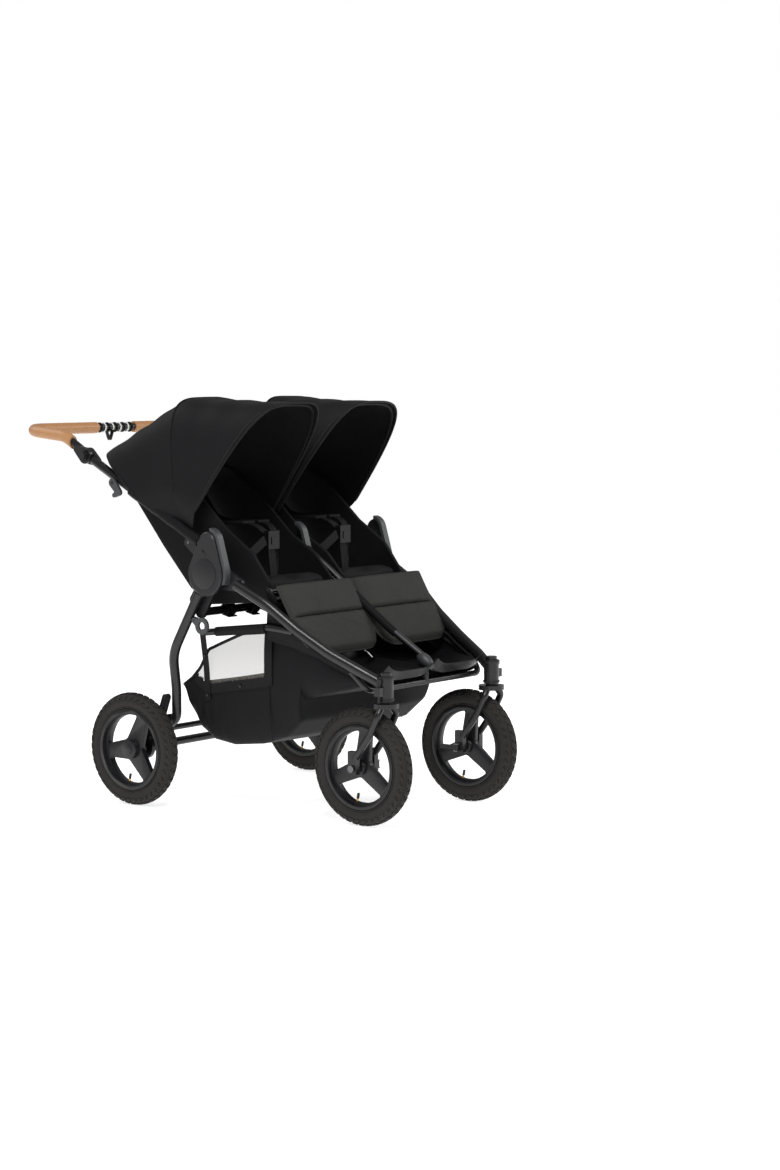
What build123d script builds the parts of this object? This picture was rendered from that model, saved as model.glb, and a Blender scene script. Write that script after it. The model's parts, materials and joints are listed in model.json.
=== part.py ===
"""Side-by-side jogging stroller: folding frame, four air wheels, two seats, two canopies, one basket.

Millimetres. +Z is up, the ground is z = 0 and the stroller faces -Y. X runs across it, and its right side
is -X. Inside the script y = 0 is the rear axle; every piece is moved at the end so that the middle of the
stroller's overall length stands at the origin.
"""

import os
from math import atan2, cos, hypot, radians, sin

from build123d import *

# ---------------------------------------------------------------- wheels and track
WHEEL_R = 152.0
TYRE_SECTION = 50.0
TYRE_WALL = 4.0
RIM_SEAT_R = 109.0
RIM_INNER_R = 99.0
RIM_HALF_WIDTH = 20.0
SPOKES = 3
SPOKE_WIDTH = 30.0
SPOKE_THICKNESS = 14.0
AXLE_R = 6.0
RUNNING_GAP = 0.05
REAR_HUB_R = 31.0
FRONT_HUB_R = 24.0
REAR_TRACK = 722.0
FRONT_TRACK = 456.0
WHEELBASE = 678.0
TRAIL = 74.0
BRAKE_CIRCLE_R = 22.0
BRAKE_PIN_R = 4.0
BRAKE_HOLE_DEPTH = 12.0
BRAKE_HOLES = 6
FRONT_SPOKE_TURN = 97.0
REAR_SPOKE_TURN = 113.0

# ---------------------------------------------------------------- side view points (y, z)
HUB = (-260.0, 632.0)
HUB_TOP = (-268.0, 715.0)
FRONT_TUBE_START = (-350.0, 607.0)
FOLD_BAR_START = (-225.0, 700.0)
HANDLE_PIVOT = (211.0, 933.0)
RELEASE_AT = (98.0, 862.0)
SEAT_PIVOT = (-190.0, 560.0)
SEAT_BEAM = (-215.0, 528.0)
LEG_REST_PIVOT = (-432.0, 592.0)
CANOPY_PIVOT = (-145.0, 707.0)
REAR_CROSS = (-45.0, 201.0)
PEDAL_PIVOT = (-66.0, 236.0)
LATCH_PIVOT = (-209.0, 508.0)
LATCH_RING = (-236.0, 494.0)
CENTRE_NOSE = (-702.0, 412.0)

# ---------------------------------------------------------------- side planes (distance from the middle)
SEAT_INNER_X = 24.0
SEAT_OUTER_X = 282.0
CANOPY_PLATE_X = (289.0, 294.5)
FOLD_BAR_X = 308.0
FOLD_PLATE_X = (302.0, 314.0)
HOUSING_X = (321.5, 331.5)
HOUSING_LOW_X = (316.0, 326.0)
LEG_PLATE_X = (333.0, 345.0)
LEG_TOP_X = 340.0
LEG_FOOT_X = 297.0
FRONT_TUBE_TOP_X = 336.0
RAIL_X = 316.0
COVER_X = (347.0, 359.0)
SUSPENSION_ARM_X = (268.0, 282.0)
SPRING_Z = (176.0, 214.0)
SPRING_R = 12.0
BASKET_HALF = 280.0
BASKET_NOSE_HALF = 246.0

# ---------------------------------------------------------------- tube and plate sizes
FRONT_TUBE_R = 14.0
LEG_TUBE_R = 13.0
FOLD_BAR_R = 12.0
HANDLE_TUBE_R = 11.0
GRIP_R = 16.0
CENTRE_TUBE_R = 9.0
CROSS_TUBE_R = 8.0
RAIL_R = 9.0
BEAM_R = 11.0
ROD_R = 5.0
HUB_DISC_R = 38.0
HUB_PIN_R = 7.0
COVER_R = 58.0
COVER_TOP_R = 27.0
COVER_RIM_GAP = 1.5
BRACKET_THICKNESS = 9.0
FABRIC = 4.0

# ---------------------------------------------------------------- handlebar
HANDLE_HEIGHT = 1003.0
HANDLE_REACH = 475.0
HANDLE_HALF = 302.0
HANDLE_CORNER_R = 75.0
GRIP_GAP = (-10.0, 145.0)
HANDLE_DISC_R = 22.0
HANDLE_PIN_R = 5.0
JOINT_IN_X = (296.0, 308.0)
JOINT_OUT_X = (309.0, 320.0)
GRIP_FRONT_Y = 272.0

# ---------------------------------------------------------------- steering head and fork
HEAD_R = 20.0
HEAD_Z = (325.0, 388.0)
STEM_R = 12.0
STEM_CAP_ROOM = 12.0
CROWN_Z = (308.0, 320.0)
FORK_HALF = 38.0
FORK_LEG_R = 9.0
LOCK_KNOB_R = 6.5
LOCK_CLEARANCE = 0.5
CROWN_MARGIN = 3.0
LOCK_PIN_R = 4.0
LOCK_TRAVEL = 8.0

# ---------------------------------------------------------------- seats, leg rests, canopies
SEAT_REAR_Y = -214.0
SEAT_FRONT_Y = -412.0
SEAT_TOP_REAR = 588.0
SEAT_TOP_FRONT = 610.0
SEAT_THICKNESS = 45.0
BACK_LENGTH = 405.0
BACK_SIDE_GAP = (8.0, 16.0)
BACK_THICKNESS = 40.0
BACK_ANGLE = 49.5
LEG_REST_ANGLE = 62.0
LEG_REST_LENGTH = 190.0
LEG_REST_THICKNESS = 24.0
LEG_REST_INNER_X = 14.0
LEG_REST_OUTER_X = 283.0
LEG_REST_CORNER_R = 95.0
CANOPY_INNER_X = 12.5
CANOPY_OUTER_X = 287.5
CANOPY_CLOTH = 2.0
CANOPY_REAR_ANGLE = 39.0
CANOPY_MID_ANGLE = 84.0
CANOPY_FRONT_ANGLE = 127.0
CANOPY_MID_HEIGHT = 381.0
CANOPY_FRONT_HEIGHT = 366.0
CANOPY_BOW_DROP = 13.0
CANOPY_STEPS = 4
CANOPY_SHOULDER = 95.0
CANOPY_LAYER_GAP = 0.6
CANOPY_BOW = 3.0
CANOPY_PIN_R = 4.0

LOCK_OFFSET = HEAD_R + LOCK_KNOB_R + LOCK_CLEARANCE
CROWN_R = LOCK_OFFSET + LOCK_PIN_R + CROWN_MARGIN
REAR_AXLE = (0.0, WHEEL_R)
FRONT_AXLE = (-WHEELBASE, WHEEL_R)
STEER_X = FRONT_TRACK / 2
STEER_Y = -WHEELBASE - TRAIL
REAR_X = REAR_TRACK / 2
TYRE_R = TYRE_SECTION / 2
FRONT_END_Y = FRONT_AXLE[0] - WHEEL_R
REAR_END_Y = HANDLE_REACH + GRIP_R
CENTRE_Y = (FRONT_END_Y + REAR_END_Y) / 2

PARTS = {}


def keep(name, shape):
    """File a piece, or a list of separate solids, under its node name."""
    solids = []
    for item in shape if isinstance(shape, (list, tuple)) else [shape]:
        solids += item.solids()
    PARTS[name] = solids


def mirrored(shape):
    """The same piece on the right-hand side."""
    return mirror(shape, about=Plane.YZ)


def across(x, centre):
    """A plane that looks along +X, with its origin over a side-view point."""
    return Plane((x, centre[0], centre[1]), x_dir=(0, 1, 0), z_dir=(1, 0, 0))


def disc(centre, radius, x_range):
    """A round plate or shaft that runs along X."""
    return extrude(across(x_range[0], centre) * Circle(radius), x_range[1] - x_range[0])


def plate(circles, x_range):
    """A flat plate whose outline is the convex hull of circles given as (y, z, radius)."""
    rims = [Edge.make_circle(r, Plane((y, z, 0))) for y, z, r in circles]
    outline = make_hull(ShapeList(rims))
    return extrude(across(x_range[0], (0, 0)) * outline, x_range[1] - x_range[0])


def slab(outline, x_range):
    """A flat piece with a straight-sided side-view outline."""
    face = make_face(Polyline(*outline, close=True))
    return extrude(across(x_range[0], (0, 0)) * face, x_range[1] - x_range[0])


def tube(points, radius, bends):
    """A round tube along straight runs joined by tangent arcs."""
    route = FilletPolyline(*points, radius=bends)
    return sweep(Plane(route @ 0, z_dir=route % 0) * Circle(radius), path=route)


def rod(start, end, radius):
    """A straight round bar between two points."""
    run = Vector(*end) - Vector(*start)
    return extrude(Plane(start, z_dir=run) * Circle(radius), run.length)


def block(low, high):
    """A box between two corners."""
    size = [high[i] - low[i] for i in range(3)]
    middle = [(high[i] + low[i]) / 2 for i in range(3)]
    return Pos(*middle) * Box(*size)


def toward(start, end, distance):
    """The side-view point at a distance from start on the way to end."""
    run = hypot(end[0] - start[0], end[1] - start[1])
    return (
        start[0] + (end[0] - start[0]) * distance / run,
        start[1] + (end[1] - start[1]) * distance / run,
    )


# ================================================================ wheels
def wheel(centre_x, axle, hub_r, spoke_turn, hub_range, brake_holes):
    """Return the tyre and the spoked rim of one wheel."""
    upright = Plane((centre_x, axle[0], axle[1]), x_dir=(1, 0, 0), z_dir=(0, -1, 0))
    spindle = Axis((centre_x, axle[0], axle[1]), (1, 0, 0))
    crown = WHEEL_R - TYRE_R
    carcass = Pos(0, crown) * Circle(TYRE_R) - Pos(0, crown) * Circle(TYRE_R - TYRE_WALL)
    carcass -= Pos(0, RIM_SEAT_R - TYRE_SECTION) * Rectangle(TYRE_SECTION * 2, TYRE_SECTION * 2)
    tyre = revolve(upright * carcass, spindle)
    band = Pos(0, (RIM_SEAT_R + RIM_INNER_R) / 2) * Rectangle(RIM_HALF_WIDTH * 2, RIM_SEAT_R - RIM_INNER_R)
    rim = revolve(upright * band, spindle)
    spoke = block(
        (-SPOKE_THICKNESS / 2, -SPOKE_WIDTH / 2, 0),
        (SPOKE_THICKNESS / 2, SPOKE_WIDTH / 2, RIM_INNER_R + 2),
    )
    for i in range(SPOKES):
        turn = spoke_turn - 90 + i * 360 / SPOKES
        rim += Pos(centre_x, axle[0], axle[1]) * Rot(turn, 0, 0) * spoke
    rim += disc(axle, hub_r, hub_range)
    rim -= disc(axle, AXLE_R + RUNNING_GAP, (hub_range[0] - 1, hub_range[1] + 1))
    for i in range(brake_holes):
        angle = radians(90 + i * 360 / brake_holes)
        spot = (axle[0] + BRAKE_CIRCLE_R * cos(angle), axle[1] + BRAKE_CIRCLE_R * sin(angle))
        rim -= disc(spot, BRAKE_PIN_R + 0.4, (hub_range[0] - 1, hub_range[0] + BRAKE_HOLE_DEPTH))
    return tyre, rim


REAR_HUB_RANGE = (REAR_X - 24, REAR_X + 22)
FRONT_HUB_RANGE = (STEER_X - 26, STEER_X + 26)

rear_tyre, rear_rim = wheel(REAR_X, REAR_AXLE, REAR_HUB_R, REAR_SPOKE_TURN, REAR_HUB_RANGE, BRAKE_HOLES)
front_tyre, front_rim = wheel(STEER_X, FRONT_AXLE, FRONT_HUB_R, FRONT_SPOKE_TURN, FRONT_HUB_RANGE, 0)
for place, tyre_part, rim_part in (("rear", rear_tyre, rear_rim), ("front", front_tyre, front_rim)):
    keep(f"{place}_tyre_left", tyre_part)
    keep(f"{place}_rim_left", rim_part)
    keep(f"{place}_tyre_right", mirrored(tyre_part))
    keep(f"{place}_rim_right", mirrored(rim_part))

# ================================================================ front frame
head = Pos(STEER_X, STEER_Y, sum(HEAD_Z) / 2) * Cylinder(HEAD_R, HEAD_Z[1] - HEAD_Z[0])
front_route = [
    (FRONT_TUBE_TOP_X, *FRONT_TUBE_START),
    (322, -440, 560),
    (300, -520, 497),
    (278, -610, 440),
    (252, -695, 396),
    (STEER_X, STEER_Y + 4, 365),
]
stem_room = Pos(STEER_X, STEER_Y, sum(HEAD_Z) / 2) * Cylinder(HEAD_R, HEAD_Z[1] - HEAD_Z[0] + 2 * STEM_CAP_ROOM)
front_tube = tube(front_route, FRONT_TUBE_R, [220, 260, 320, 260]) - stem_room
keep("front_tubes", [front_tube, mirrored(front_tube)])

lock_x = STEER_X + LOCK_OFFSET
lug = block((STEER_X + 12, STEER_Y - 9, 340), (lock_x + 9, STEER_Y + 9, 362))
head_part = head + lug
head_part -= Pos(STEER_X, STEER_Y, sum(HEAD_Z) / 2) * Cylinder(STEM_R + RUNNING_GAP, 90)
head_part -= Pos(lock_x, STEER_Y, 350) * Cylinder(LOCK_PIN_R + RUNNING_GAP, 60)
head_part -= front_tube
keep("steering_heads", [head_part, mirrored(head_part)])

cross_route = [(258, -664, 396), (238, -704, 349), (-238, -704, 349), (-258, -664, 396)]
front_cross = tube(cross_route, CROSS_TUBE_R, [26, 26]) - front_tube - mirrored(front_tube)
keep("front_cross_tube", front_cross)

leg_rest_rod = disc(LEG_REST_PIVOT, ROD_R, (-306, 306))
centre_route = [(0, -306, 684), (0, -366, 642), (0, -575, 490), (0, *CENTRE_NOSE)]
centre_tube = tube(centre_route, CENTRE_TUBE_R, [150, 300]) - leg_rest_rod
nose = block((-12, CENTRE_NOSE[0] - 18, 342), (12, CENTRE_NOSE[0] + 12, 424))
nose = fillet(nose.edges().filter_by(Axis.X).sort_by(Axis.Z)[-2:], 9)
nose = nose - centre_tube - front_cross
keep("centre_tube", centre_tube)
keep("centre_cap", nose)

# ================================================================ hubs
hub_bore = disc(HUB, HUB_PIN_R, (280, 365))
hub_bore_free = disc(HUB, HUB_PIN_R + RUNNING_GAP, (280, 365))
seat_beam = disc(SEAT_BEAM, BEAM_R, (-HOUSING_LOW_X[0], HOUSING_LOW_X[0]))
seat_rod = disc(SEAT_PIVOT, ROD_R, (-HOUSING_LOW_X[0], HOUSING_LOW_X[0]))
housing = plate([(*HUB, HUB_DISC_R), (*FRONT_TUBE_START, 18)], HOUSING_X)
housing += plate([(*HUB, 30), (*SEAT_BEAM, 16), (*SEAT_PIVOT, 12)], HOUSING_LOW_X)
housing = housing - front_tube - hub_bore
keep("hub_housings", [housing, mirrored(housing)])

cover = plate([(*HUB, COVER_R), (*HUB_TOP, COVER_TOP_R)], COVER_X)
cover = chamfer(cover.faces().sort_by(Axis.X)[-1].edges(), 4)
keep("hub_covers", [cover, mirrored(cover)])

gap = COVER_RIM_GAP
wide = gap + BRACKET_THICKNESS
outer_ring = plate([(*HUB, COVER_R + wide), (*HUB_TOP, COVER_TOP_R + wide)], (332, 352))
inner_ring = plate([(*HUB, COVER_R + gap), (*HUB_TOP, COVER_TOP_R + gap)], (331, 353))
front_side = block((330, -420, 606), (354, HUB_TOP[0] - 6, 760))
hub_bracket = (outer_ring - inner_ring) & front_side
hub_bracket = hub_bracket - front_tube
middle_side = block((-12, -420, 606), (12, HUB_TOP[0] - 6, 760))
centre_bracket = (Pos(-342, 0, 0) * (outer_ring - inner_ring)) & middle_side
centre_bracket = centre_bracket - centre_tube
keep("hub_brackets", [hub_bracket, mirrored(hub_bracket), centre_bracket])

centre_hub = plate([(*HUB, 22), (*SEAT_BEAM, 18), (-300, 680, 16)], (-6, 6))
centre_hub += plate([(-300, 680, 12), (*CANOPY_PIVOT, 13)], (-6, 6))
centre_hub = centre_hub - seat_beam - disc(SEAT_PIVOT, ROD_R, (-8, 8)) - centre_tube - centre_bracket
keep("centre_hub", centre_hub)
keep("seat_rods", [seat_beam, seat_rod, leg_rest_rod])

canopy_plate = plate([(*HUB, 24), (*CANOPY_PIVOT, 13)], CANOPY_PLATE_X) - hub_bore
canopy_plate -= disc(CANOPY_PIVOT, CANOPY_PIN_R, (280, 300))
leg_bracket = plate([(*LEG_REST_PIVOT, 9), (-446, 566, 12)], (298, 304)) - front_tube
leg_bracket -= disc(LEG_REST_PIVOT, ROD_R, (290, 310))
keep("canopy_plates", [canopy_plate, mirrored(canopy_plate)])
keep("leg_rest_brackets", [leg_bracket, mirrored(leg_bracket)])

hub_pin = disc(HUB, HUB_PIN_R, (CANOPY_PLATE_X[0], COVER_X[0]))
outer_pin = disc(CANOPY_PIVOT, CANOPY_PIN_R, (278, CANOPY_PLATE_X[1]))
inner_pin = disc(CANOPY_PIVOT, CANOPY_PIN_R, (6, 22))
pins = [hub_pin, outer_pin, inner_pin]
keep("hinge_pins", pins + [mirrored(p) for p in pins])

rail_route = [(302, -512, 492), (315, -446, 500), (RAIL_X, -214, 474)]
rail = tube(rail_route, RAIL_R, [90]) - front_tube
keep("side_rails", [rail, mirrored(rail)])

# ================================================================ push frame
bar_end = toward(HANDLE_PIVOT, FOLD_BAR_START, HANDLE_DISC_R + 4)
fold_bar = rod((FOLD_BAR_X, *FOLD_BAR_START), (FOLD_BAR_X, *bar_end), FOLD_BAR_R)
fold_bar += plate([(*HUB, HUB_DISC_R - 4), (*toward(FOLD_BAR_START, HANDLE_PIVOT, 16), 13)], FOLD_PLATE_X)
fold_bar -= hub_bore_free
release_pin = disc(RELEASE_AT, 4, (FOLD_BAR_X, 331))
fold_bar += release_pin
keep("upper_tubes", [fold_bar, mirrored(fold_bar)])

arm_start = toward(HANDLE_PIVOT, FOLD_BAR_START, 34)
handle_joint = plate([(*HANDLE_PIVOT, HANDLE_DISC_R), (*arm_start, 12)], JOINT_IN_X) - fold_bar
handle_joint += disc(HANDLE_PIVOT, HANDLE_PIN_R, (300, JOINT_OUT_X[1]))
keep("handle_joints", [handle_joint, mirrored(handle_joint)])

handle_first = (HANDLE_PIVOT[0] + 24, HANDLE_PIVOT[1] + 14)
handle_route = [
    (HANDLE_HALF, *handle_first),
    (HANDLE_HALF, 300, HANDLE_HEIGHT - 18),
    (HANDLE_HALF - 8, HANDLE_REACH, HANDLE_HEIGHT),
    (-HANDLE_HALF + 8, HANDLE_REACH, HANDLE_HEIGHT),
    (-HANDLE_HALF, 300, HANDLE_HEIGHT - 18),
    (-HANDLE_HALF, *handle_first),
]
handle_bends = [90, HANDLE_CORNER_R, HANDLE_CORNER_R, 90]
handlebar = tube(handle_route, HANDLE_TUBE_R, handle_bends)
grip_full = tube(handle_route, GRIP_R, handle_bends) - handlebar
disc_tip = (handle_first[0] + 8, handle_first[1] + 4, 10)
disc_out = plate([(*HANDLE_PIVOT, HANDLE_DISC_R), disc_tip], JOINT_OUT_X)
disc_out -= disc(HANDLE_PIVOT, HANDLE_PIN_R + RUNNING_GAP, (305, 325))
bezel = disc(HANDLE_PIVOT, 14, (JOINT_OUT_X[1], 327)) - disc(HANDLE_PIVOT, 10, (JOINT_OUT_X[1], 328))
handle_end = disc_out + bezel
handlebar = handlebar + handle_end + mirrored(handle_end)
keep("handlebar", handlebar)
grip_zone = block((-400, GRIP_FRONT_Y, 900), (400, 600, 1100))
gap_zone = block((GRIP_GAP[0], 400, 900), (GRIP_GAP[1], 600, 1100))
grips = (grip_full & grip_zone) - gap_zone
keep("handle_grips", grips)
button = disc(HANDLE_PIVOT, 9.8, (325, 331))
keep("handle_button_left", button)
keep("handle_button_right", mirrored(button))

release = plate([(*RELEASE_AT, 12), (RELEASE_AT[0] - 22, RELEASE_AT[1] - 26, 9)], (321.5, 330))
release += plate([(RELEASE_AT[0] - 22, RELEASE_AT[1] - 26, 9), (RELEASE_AT[0] - 6, RELEASE_AT[1] - 34, 6)],
                 (321.5, 330))
release -= disc(RELEASE_AT, 4 + RUNNING_GAP, (320, 332))
keep("fold_release_left", release)
keep("fold_release_right", mirrored(release))

# ================================================================ rear frame, axle, brake
LEG_START = toward(HUB, (-165, 490), 62)
leg_route = [
    (LEG_TOP_X, *LEG_START),
    (LEG_TOP_X, -128, 415),
    (LEG_FOOT_X + 10, -108, 318),
    (LEG_FOOT_X, -98, 236),
    (LEG_FOOT_X, REAR_CROSS[0] - 6, REAR_CROSS[1] + 3),
]
leg = tube(leg_route, LEG_TUBE_R, [150, 120, 34])
leg += plate([(*HUB, HUB_DISC_R), (*toward(HUB, LEG_START, 70), 12)], LEG_PLATE_X)
leg += disc(REAR_CROSS, 16, (LEG_FOOT_X - 12, LEG_FOOT_X + 12))
leg += block((LEG_FOOT_X - 12, REAR_CROSS[0] - 7, SPRING_Z[1]), (LEG_FOOT_X + 12, 14, SPRING_Z[1] + 7))
leg -= hub_bore_free
rear_cross = disc(REAR_CROSS, CROSS_TUBE_R, (-LEG_FOOT_X, LEG_FOOT_X))
latch_lug = plate([(*LATCH_PIVOT, 7), (LATCH_PIVOT[0] + 20, LATCH_PIVOT[1] + 4, 7)], (-338, -332))
latch_lug += disc(LATCH_PIVOT, 3, (-346, -332))
pedal_pin = disc(PEDAL_PIVOT, 4, (-334, -300))
pedal_lug = plate([(*PEDAL_PIVOT, 8), (-90, 240, 8)], (-308, -298))
rear_frame = leg + mirrored(leg) + rear_cross + latch_lug + pedal_lug + pedal_pin
keep("rear_legs", rear_frame)

arm = plate([(*REAR_CROSS, 15), (*REAR_AXLE, 15)], SUSPENSION_ARM_X)
arm += disc(REAR_AXLE, 9, (SUSPENSION_ARM_X[1], REAR_HUB_RANGE[0] - 0.5))
arm += disc(REAR_AXLE, 32, (312, 324))
arm += disc(REAR_AXLE, AXLE_R, (SUSPENSION_ARM_X[1], REAR_X + TYRE_R - 1))
arm += block((SUSPENSION_ARM_X[0], -14, SPRING_Z[0] - 8), (SUSPENSION_ARM_X[1] + 28, 16, SPRING_Z[0]))
arm -= disc(REAR_CROSS, CROSS_TUBE_R + RUNNING_GAP, (260, 290))
brake_spot = (REAR_AXLE[0], REAR_AXLE[1] + BRAKE_CIRCLE_R)
arm -= disc(brake_spot, BRAKE_PIN_R + RUNNING_GAP, (305, 330))
axle_tube = disc(REAR_AXLE, 11, (-SUSPENSION_ARM_X[0], SUSPENSION_ARM_X[0]))
keep("rear_axle", axle_tube + arm + mirrored(arm))

spring_at = Pos(SUSPENSION_ARM_X[1] + 14, 1, sum(SPRING_Z) / 2)
spring = spring_at * Cylinder(SPRING_R, SPRING_Z[1] - SPRING_Z[0])
keep("suspension_blocks", [spring, mirrored(spring)])

pin_part = disc(brake_spot, BRAKE_PIN_R, (311, REAR_HUB_RANGE[0] - 1))
keep("brake_pin_left", pin_part)
keep("brake_pin_right", mirrored(pin_part))

pedal_tip = (PEDAL_PIVOT[0] - 22, PEDAL_PIVOT[1] + 58)
pedal = plate([(*PEDAL_PIVOT, 9), (*pedal_tip, 9)], (-333, -317))
pedal -= plate([(*toward(PEDAL_PIVOT, pedal_tip, 22), 4.5), (*toward(PEDAL_PIVOT, pedal_tip, 54), 4.5)],
               (-340, -310))
pedal -= disc(PEDAL_PIVOT, 4 + RUNNING_GAP, (-340, -310))
keep("brake_pedal", pedal)

latch = disc(LATCH_RING, 22, (-346, -339)) + plate([(*LATCH_RING, 15), (*LATCH_PIVOT, 7)], (-346, -339))
latch = latch - disc(LATCH_RING, 11, (-350, -335)) - disc(LATCH_PIVOT, 3 + RUNNING_GAP, (-350, -335))
keep("fold_latch", latch)

# ================================================================ forks and front axles
def fork():
    """The swivelling fork of the left front wheel."""
    crown_mid = sum(CROWN_Z) / 2
    body = Pos(STEER_X, STEER_Y, crown_mid) * Cylinder(CROWN_R, CROWN_Z[1] - CROWN_Z[0])
    stem_low, stem_high = CROWN_Z[1] - 2, HEAD_Z[1] + 8
    body += Pos(STEER_X, STEER_Y, (stem_low + stem_high) / 2) * Cylinder(STEM_R, stem_high - stem_low)
    body += Pos(STEER_X, STEER_Y, HEAD_Z[1] + 5) * Cylinder(STEM_R + 3, 8)
    body += Pos(STEER_X, STEER_Y, CROWN_Z[1] + 1.5) * Cylinder(STEM_R + 3, 6)
    for side in (1, -1):
        x = STEER_X + side * FORK_HALF
        route = [
            (STEER_X + side * 22, STEER_Y - 2, crown_mid - 3),
            (x, STEER_Y - 4, crown_mid - 22),
            (x, STEER_Y + 22, 240),
            (x, FRONT_AXLE[0] - 4, 178),
        ]
        body += tube(route, FORK_LEG_R, [18, 110])
        body += block((x - 8, FRONT_AXLE[0] - 13, WHEEL_R - 14), (x + 8, FRONT_AXLE[0] + 13, WHEEL_R + 44))
        hole_z = CROWN_Z[1] - LOCK_TRAVEL / 2
        body -= Pos(STEER_X + side * LOCK_OFFSET, STEER_Y, hole_z) * Cylinder(LOCK_PIN_R + 0.4, LOCK_TRAVEL + 2)
    return body - disc(FRONT_AXLE, AXLE_R, (STEER_X - 60, STEER_X + 60))


fork_part = fork()
keep("fork_left", fork_part)
keep("fork_right", mirrored(fork_part))

QR_X = STEER_X - 57
axle_z = FRONT_AXLE[1]
front_axle = disc(FRONT_AXLE, AXLE_R, (STEER_X - 48, STEER_X + FORK_HALF + 12))
front_axle += disc(FRONT_AXLE, 9, (STEER_X + FORK_HALF + 8, STEER_X + FORK_HALF + 14))
yoke_y = (FRONT_AXLE[0] - 6, FRONT_AXLE[0] + 6)
front_axle += block((STEER_X - 50, yoke_y[0], axle_z - 11), (STEER_X - 46, yoke_y[1], axle_z + 11))
for z in (axle_z - 11, axle_z + 8):
    front_axle += block((QR_X - 5, yoke_y[0], z), (STEER_X - 46, yoke_y[1], z + 3))
front_axle += Pos(QR_X, FRONT_AXLE[0], axle_z) * Cylinder(2.5, 22)
keep("front_axle_left", front_axle)
keep("front_axle_right", mirrored(front_axle))

lever = Pos(QR_X, FRONT_AXLE[0], axle_z) * Cylinder(6, 14)
lever += block((QR_X - 4, FRONT_AXLE[0], axle_z - 6), (QR_X + 3, FRONT_AXLE[0] + 46, axle_z + 6))
lever -= Pos(QR_X, FRONT_AXLE[0], axle_z) * Cylinder(2.5 + RUNNING_GAP, 30)
keep("quick_release_left", lever)
keep("quick_release_right", mirrored(lever))

lock_low = CROWN_Z[1] + 3
lock = Pos(lock_x, STEER_Y, (lock_low + 376) / 2) * Cylinder(LOCK_PIN_R, 376 - lock_low)
lock += Pos(lock_x, STEER_Y, 377) * Cylinder(LOCK_KNOB_R, 10)
keep("swivel_lock_left", lock)
keep("swivel_lock_right", mirrored(lock))

# ================================================================ soft goods
seat_outline = [
    (SEAT_REAR_Y, SEAT_TOP_REAR),
    (SEAT_FRONT_Y, SEAT_TOP_FRONT),
    (SEAT_FRONT_Y, SEAT_TOP_FRONT - SEAT_THICKNESS),
    (SEAT_REAR_Y, SEAT_TOP_REAR - SEAT_THICKNESS),
]
seat = slab(seat_outline, (SEAT_INNER_X, SEAT_OUTER_X)) - seat_beam
keep("seat_bases", [seat, mirrored(seat)])


def seat_back():
    """The left backrest, hinged on the seat rod."""
    along = (cos(radians(BACK_ANGLE)), sin(radians(BACK_ANGLE)))
    normal = (-along[1], along[0])

    def at(s, t):
        return (SEAT_PIVOT[0] + along[0] * s + normal[0] * t, SEAT_PIVOT[1] + along[1] * s + normal[1] * t)

    half = BACK_THICKNESS / 2
    sides = (SEAT_INNER_X + BACK_SIDE_GAP[0], SEAT_OUTER_X - BACK_SIDE_GAP[1])
    pad = slab([at(0, -half), at(BACK_LENGTH, -half), at(BACK_LENGTH, half), at(0, half)], sides)
    pad = fillet(pad.edges().filter_by(Axis.X).sort_by(Axis.Z)[-2:], 12)
    pad += disc(SEAT_PIVOT, half, sides)
    return pad - disc(SEAT_PIVOT, ROD_R + RUNNING_GAP, (0, 320))


back = seat_back()
keep("seat_back_left", back)
keep("seat_back_right", mirrored(back))


def leg_rest():
    """The left calf pad, hinged at the front of the seat."""
    tilt = Location(Plane((0, *LEG_REST_PIVOT), x_dir=(1, 0, 0),
                          z_dir=(0, -sin(radians(LEG_REST_ANGLE)), cos(radians(LEG_REST_ANGLE)))))
    width = LEG_REST_OUTER_X - LEG_REST_INNER_X
    middle = (LEG_REST_OUTER_X + LEG_REST_INNER_X) / 2
    face = Pos(middle, -LEG_REST_LENGTH / 2 + 5) * Rectangle(width, LEG_REST_LENGTH + 10)
    face = fillet(face.vertices().sort_by(Axis.Y)[:2], LEG_REST_CORNER_R)
    face = fillet(face.vertices().sort_by(Axis.Y)[-2:], 12)
    pad = tilt * extrude(Pos(0, 0, 8) * face, LEG_REST_THICKNESS)
    for x in (60, 230):
        pad += disc(LEG_REST_PIVOT, 11, (x, x + 30))
    return pad - disc(LEG_REST_PIVOT, ROD_R + RUNNING_GAP, (0, 320))


calf = leg_rest()
keep("leg_rest_left", calf)
keep("leg_rest_right", mirrored(calf))

BUCKLE_X = 150.0
BUCKLE_AT = (-312.0, 706.0)
strap = slab([(-322, 603), (-318, 603), (-308, 690), (-312, 690)], (BUCKLE_X - 14, BUCKLE_X + 14))
buckle = block((BUCKLE_X - 22, BUCKLE_AT[0] - 9, 688), (BUCKLE_X + 22, BUCKLE_AT[0] + 9, 736))
buckle -= block((BUCKLE_X - 10.3, BUCKLE_AT[0] - 10, 699.7), (BUCKLE_X + 10.3, BUCKLE_AT[0] - 2, 720.3))
buckle = buckle + strap
keep("buckles", [buckle - seat, mirrored(buckle - seat)])
press = block((BUCKLE_X - 10, BUCKLE_AT[0] - 11, 700), (BUCKLE_X + 10, BUCKLE_AT[0] - 5, 720))
keep("buckle_button_left", press)
keep("buckle_button_right", mirrored(press))


def band(points, thickness, x_range):
    """A sheet of even thickness that follows a side-view line, below and behind it."""
    over = []
    for i, (y, z) in enumerate(points):
        before = points[max(i - 1, 0)]
        after = points[min(i + 1, len(points) - 1)]
        turn = atan2(after[1] - before[1], after[0] - before[0])
        over.append((y - thickness * sin(turn), z + thickness * cos(turn)))
    return slab(points + over[::-1], x_range)


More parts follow.
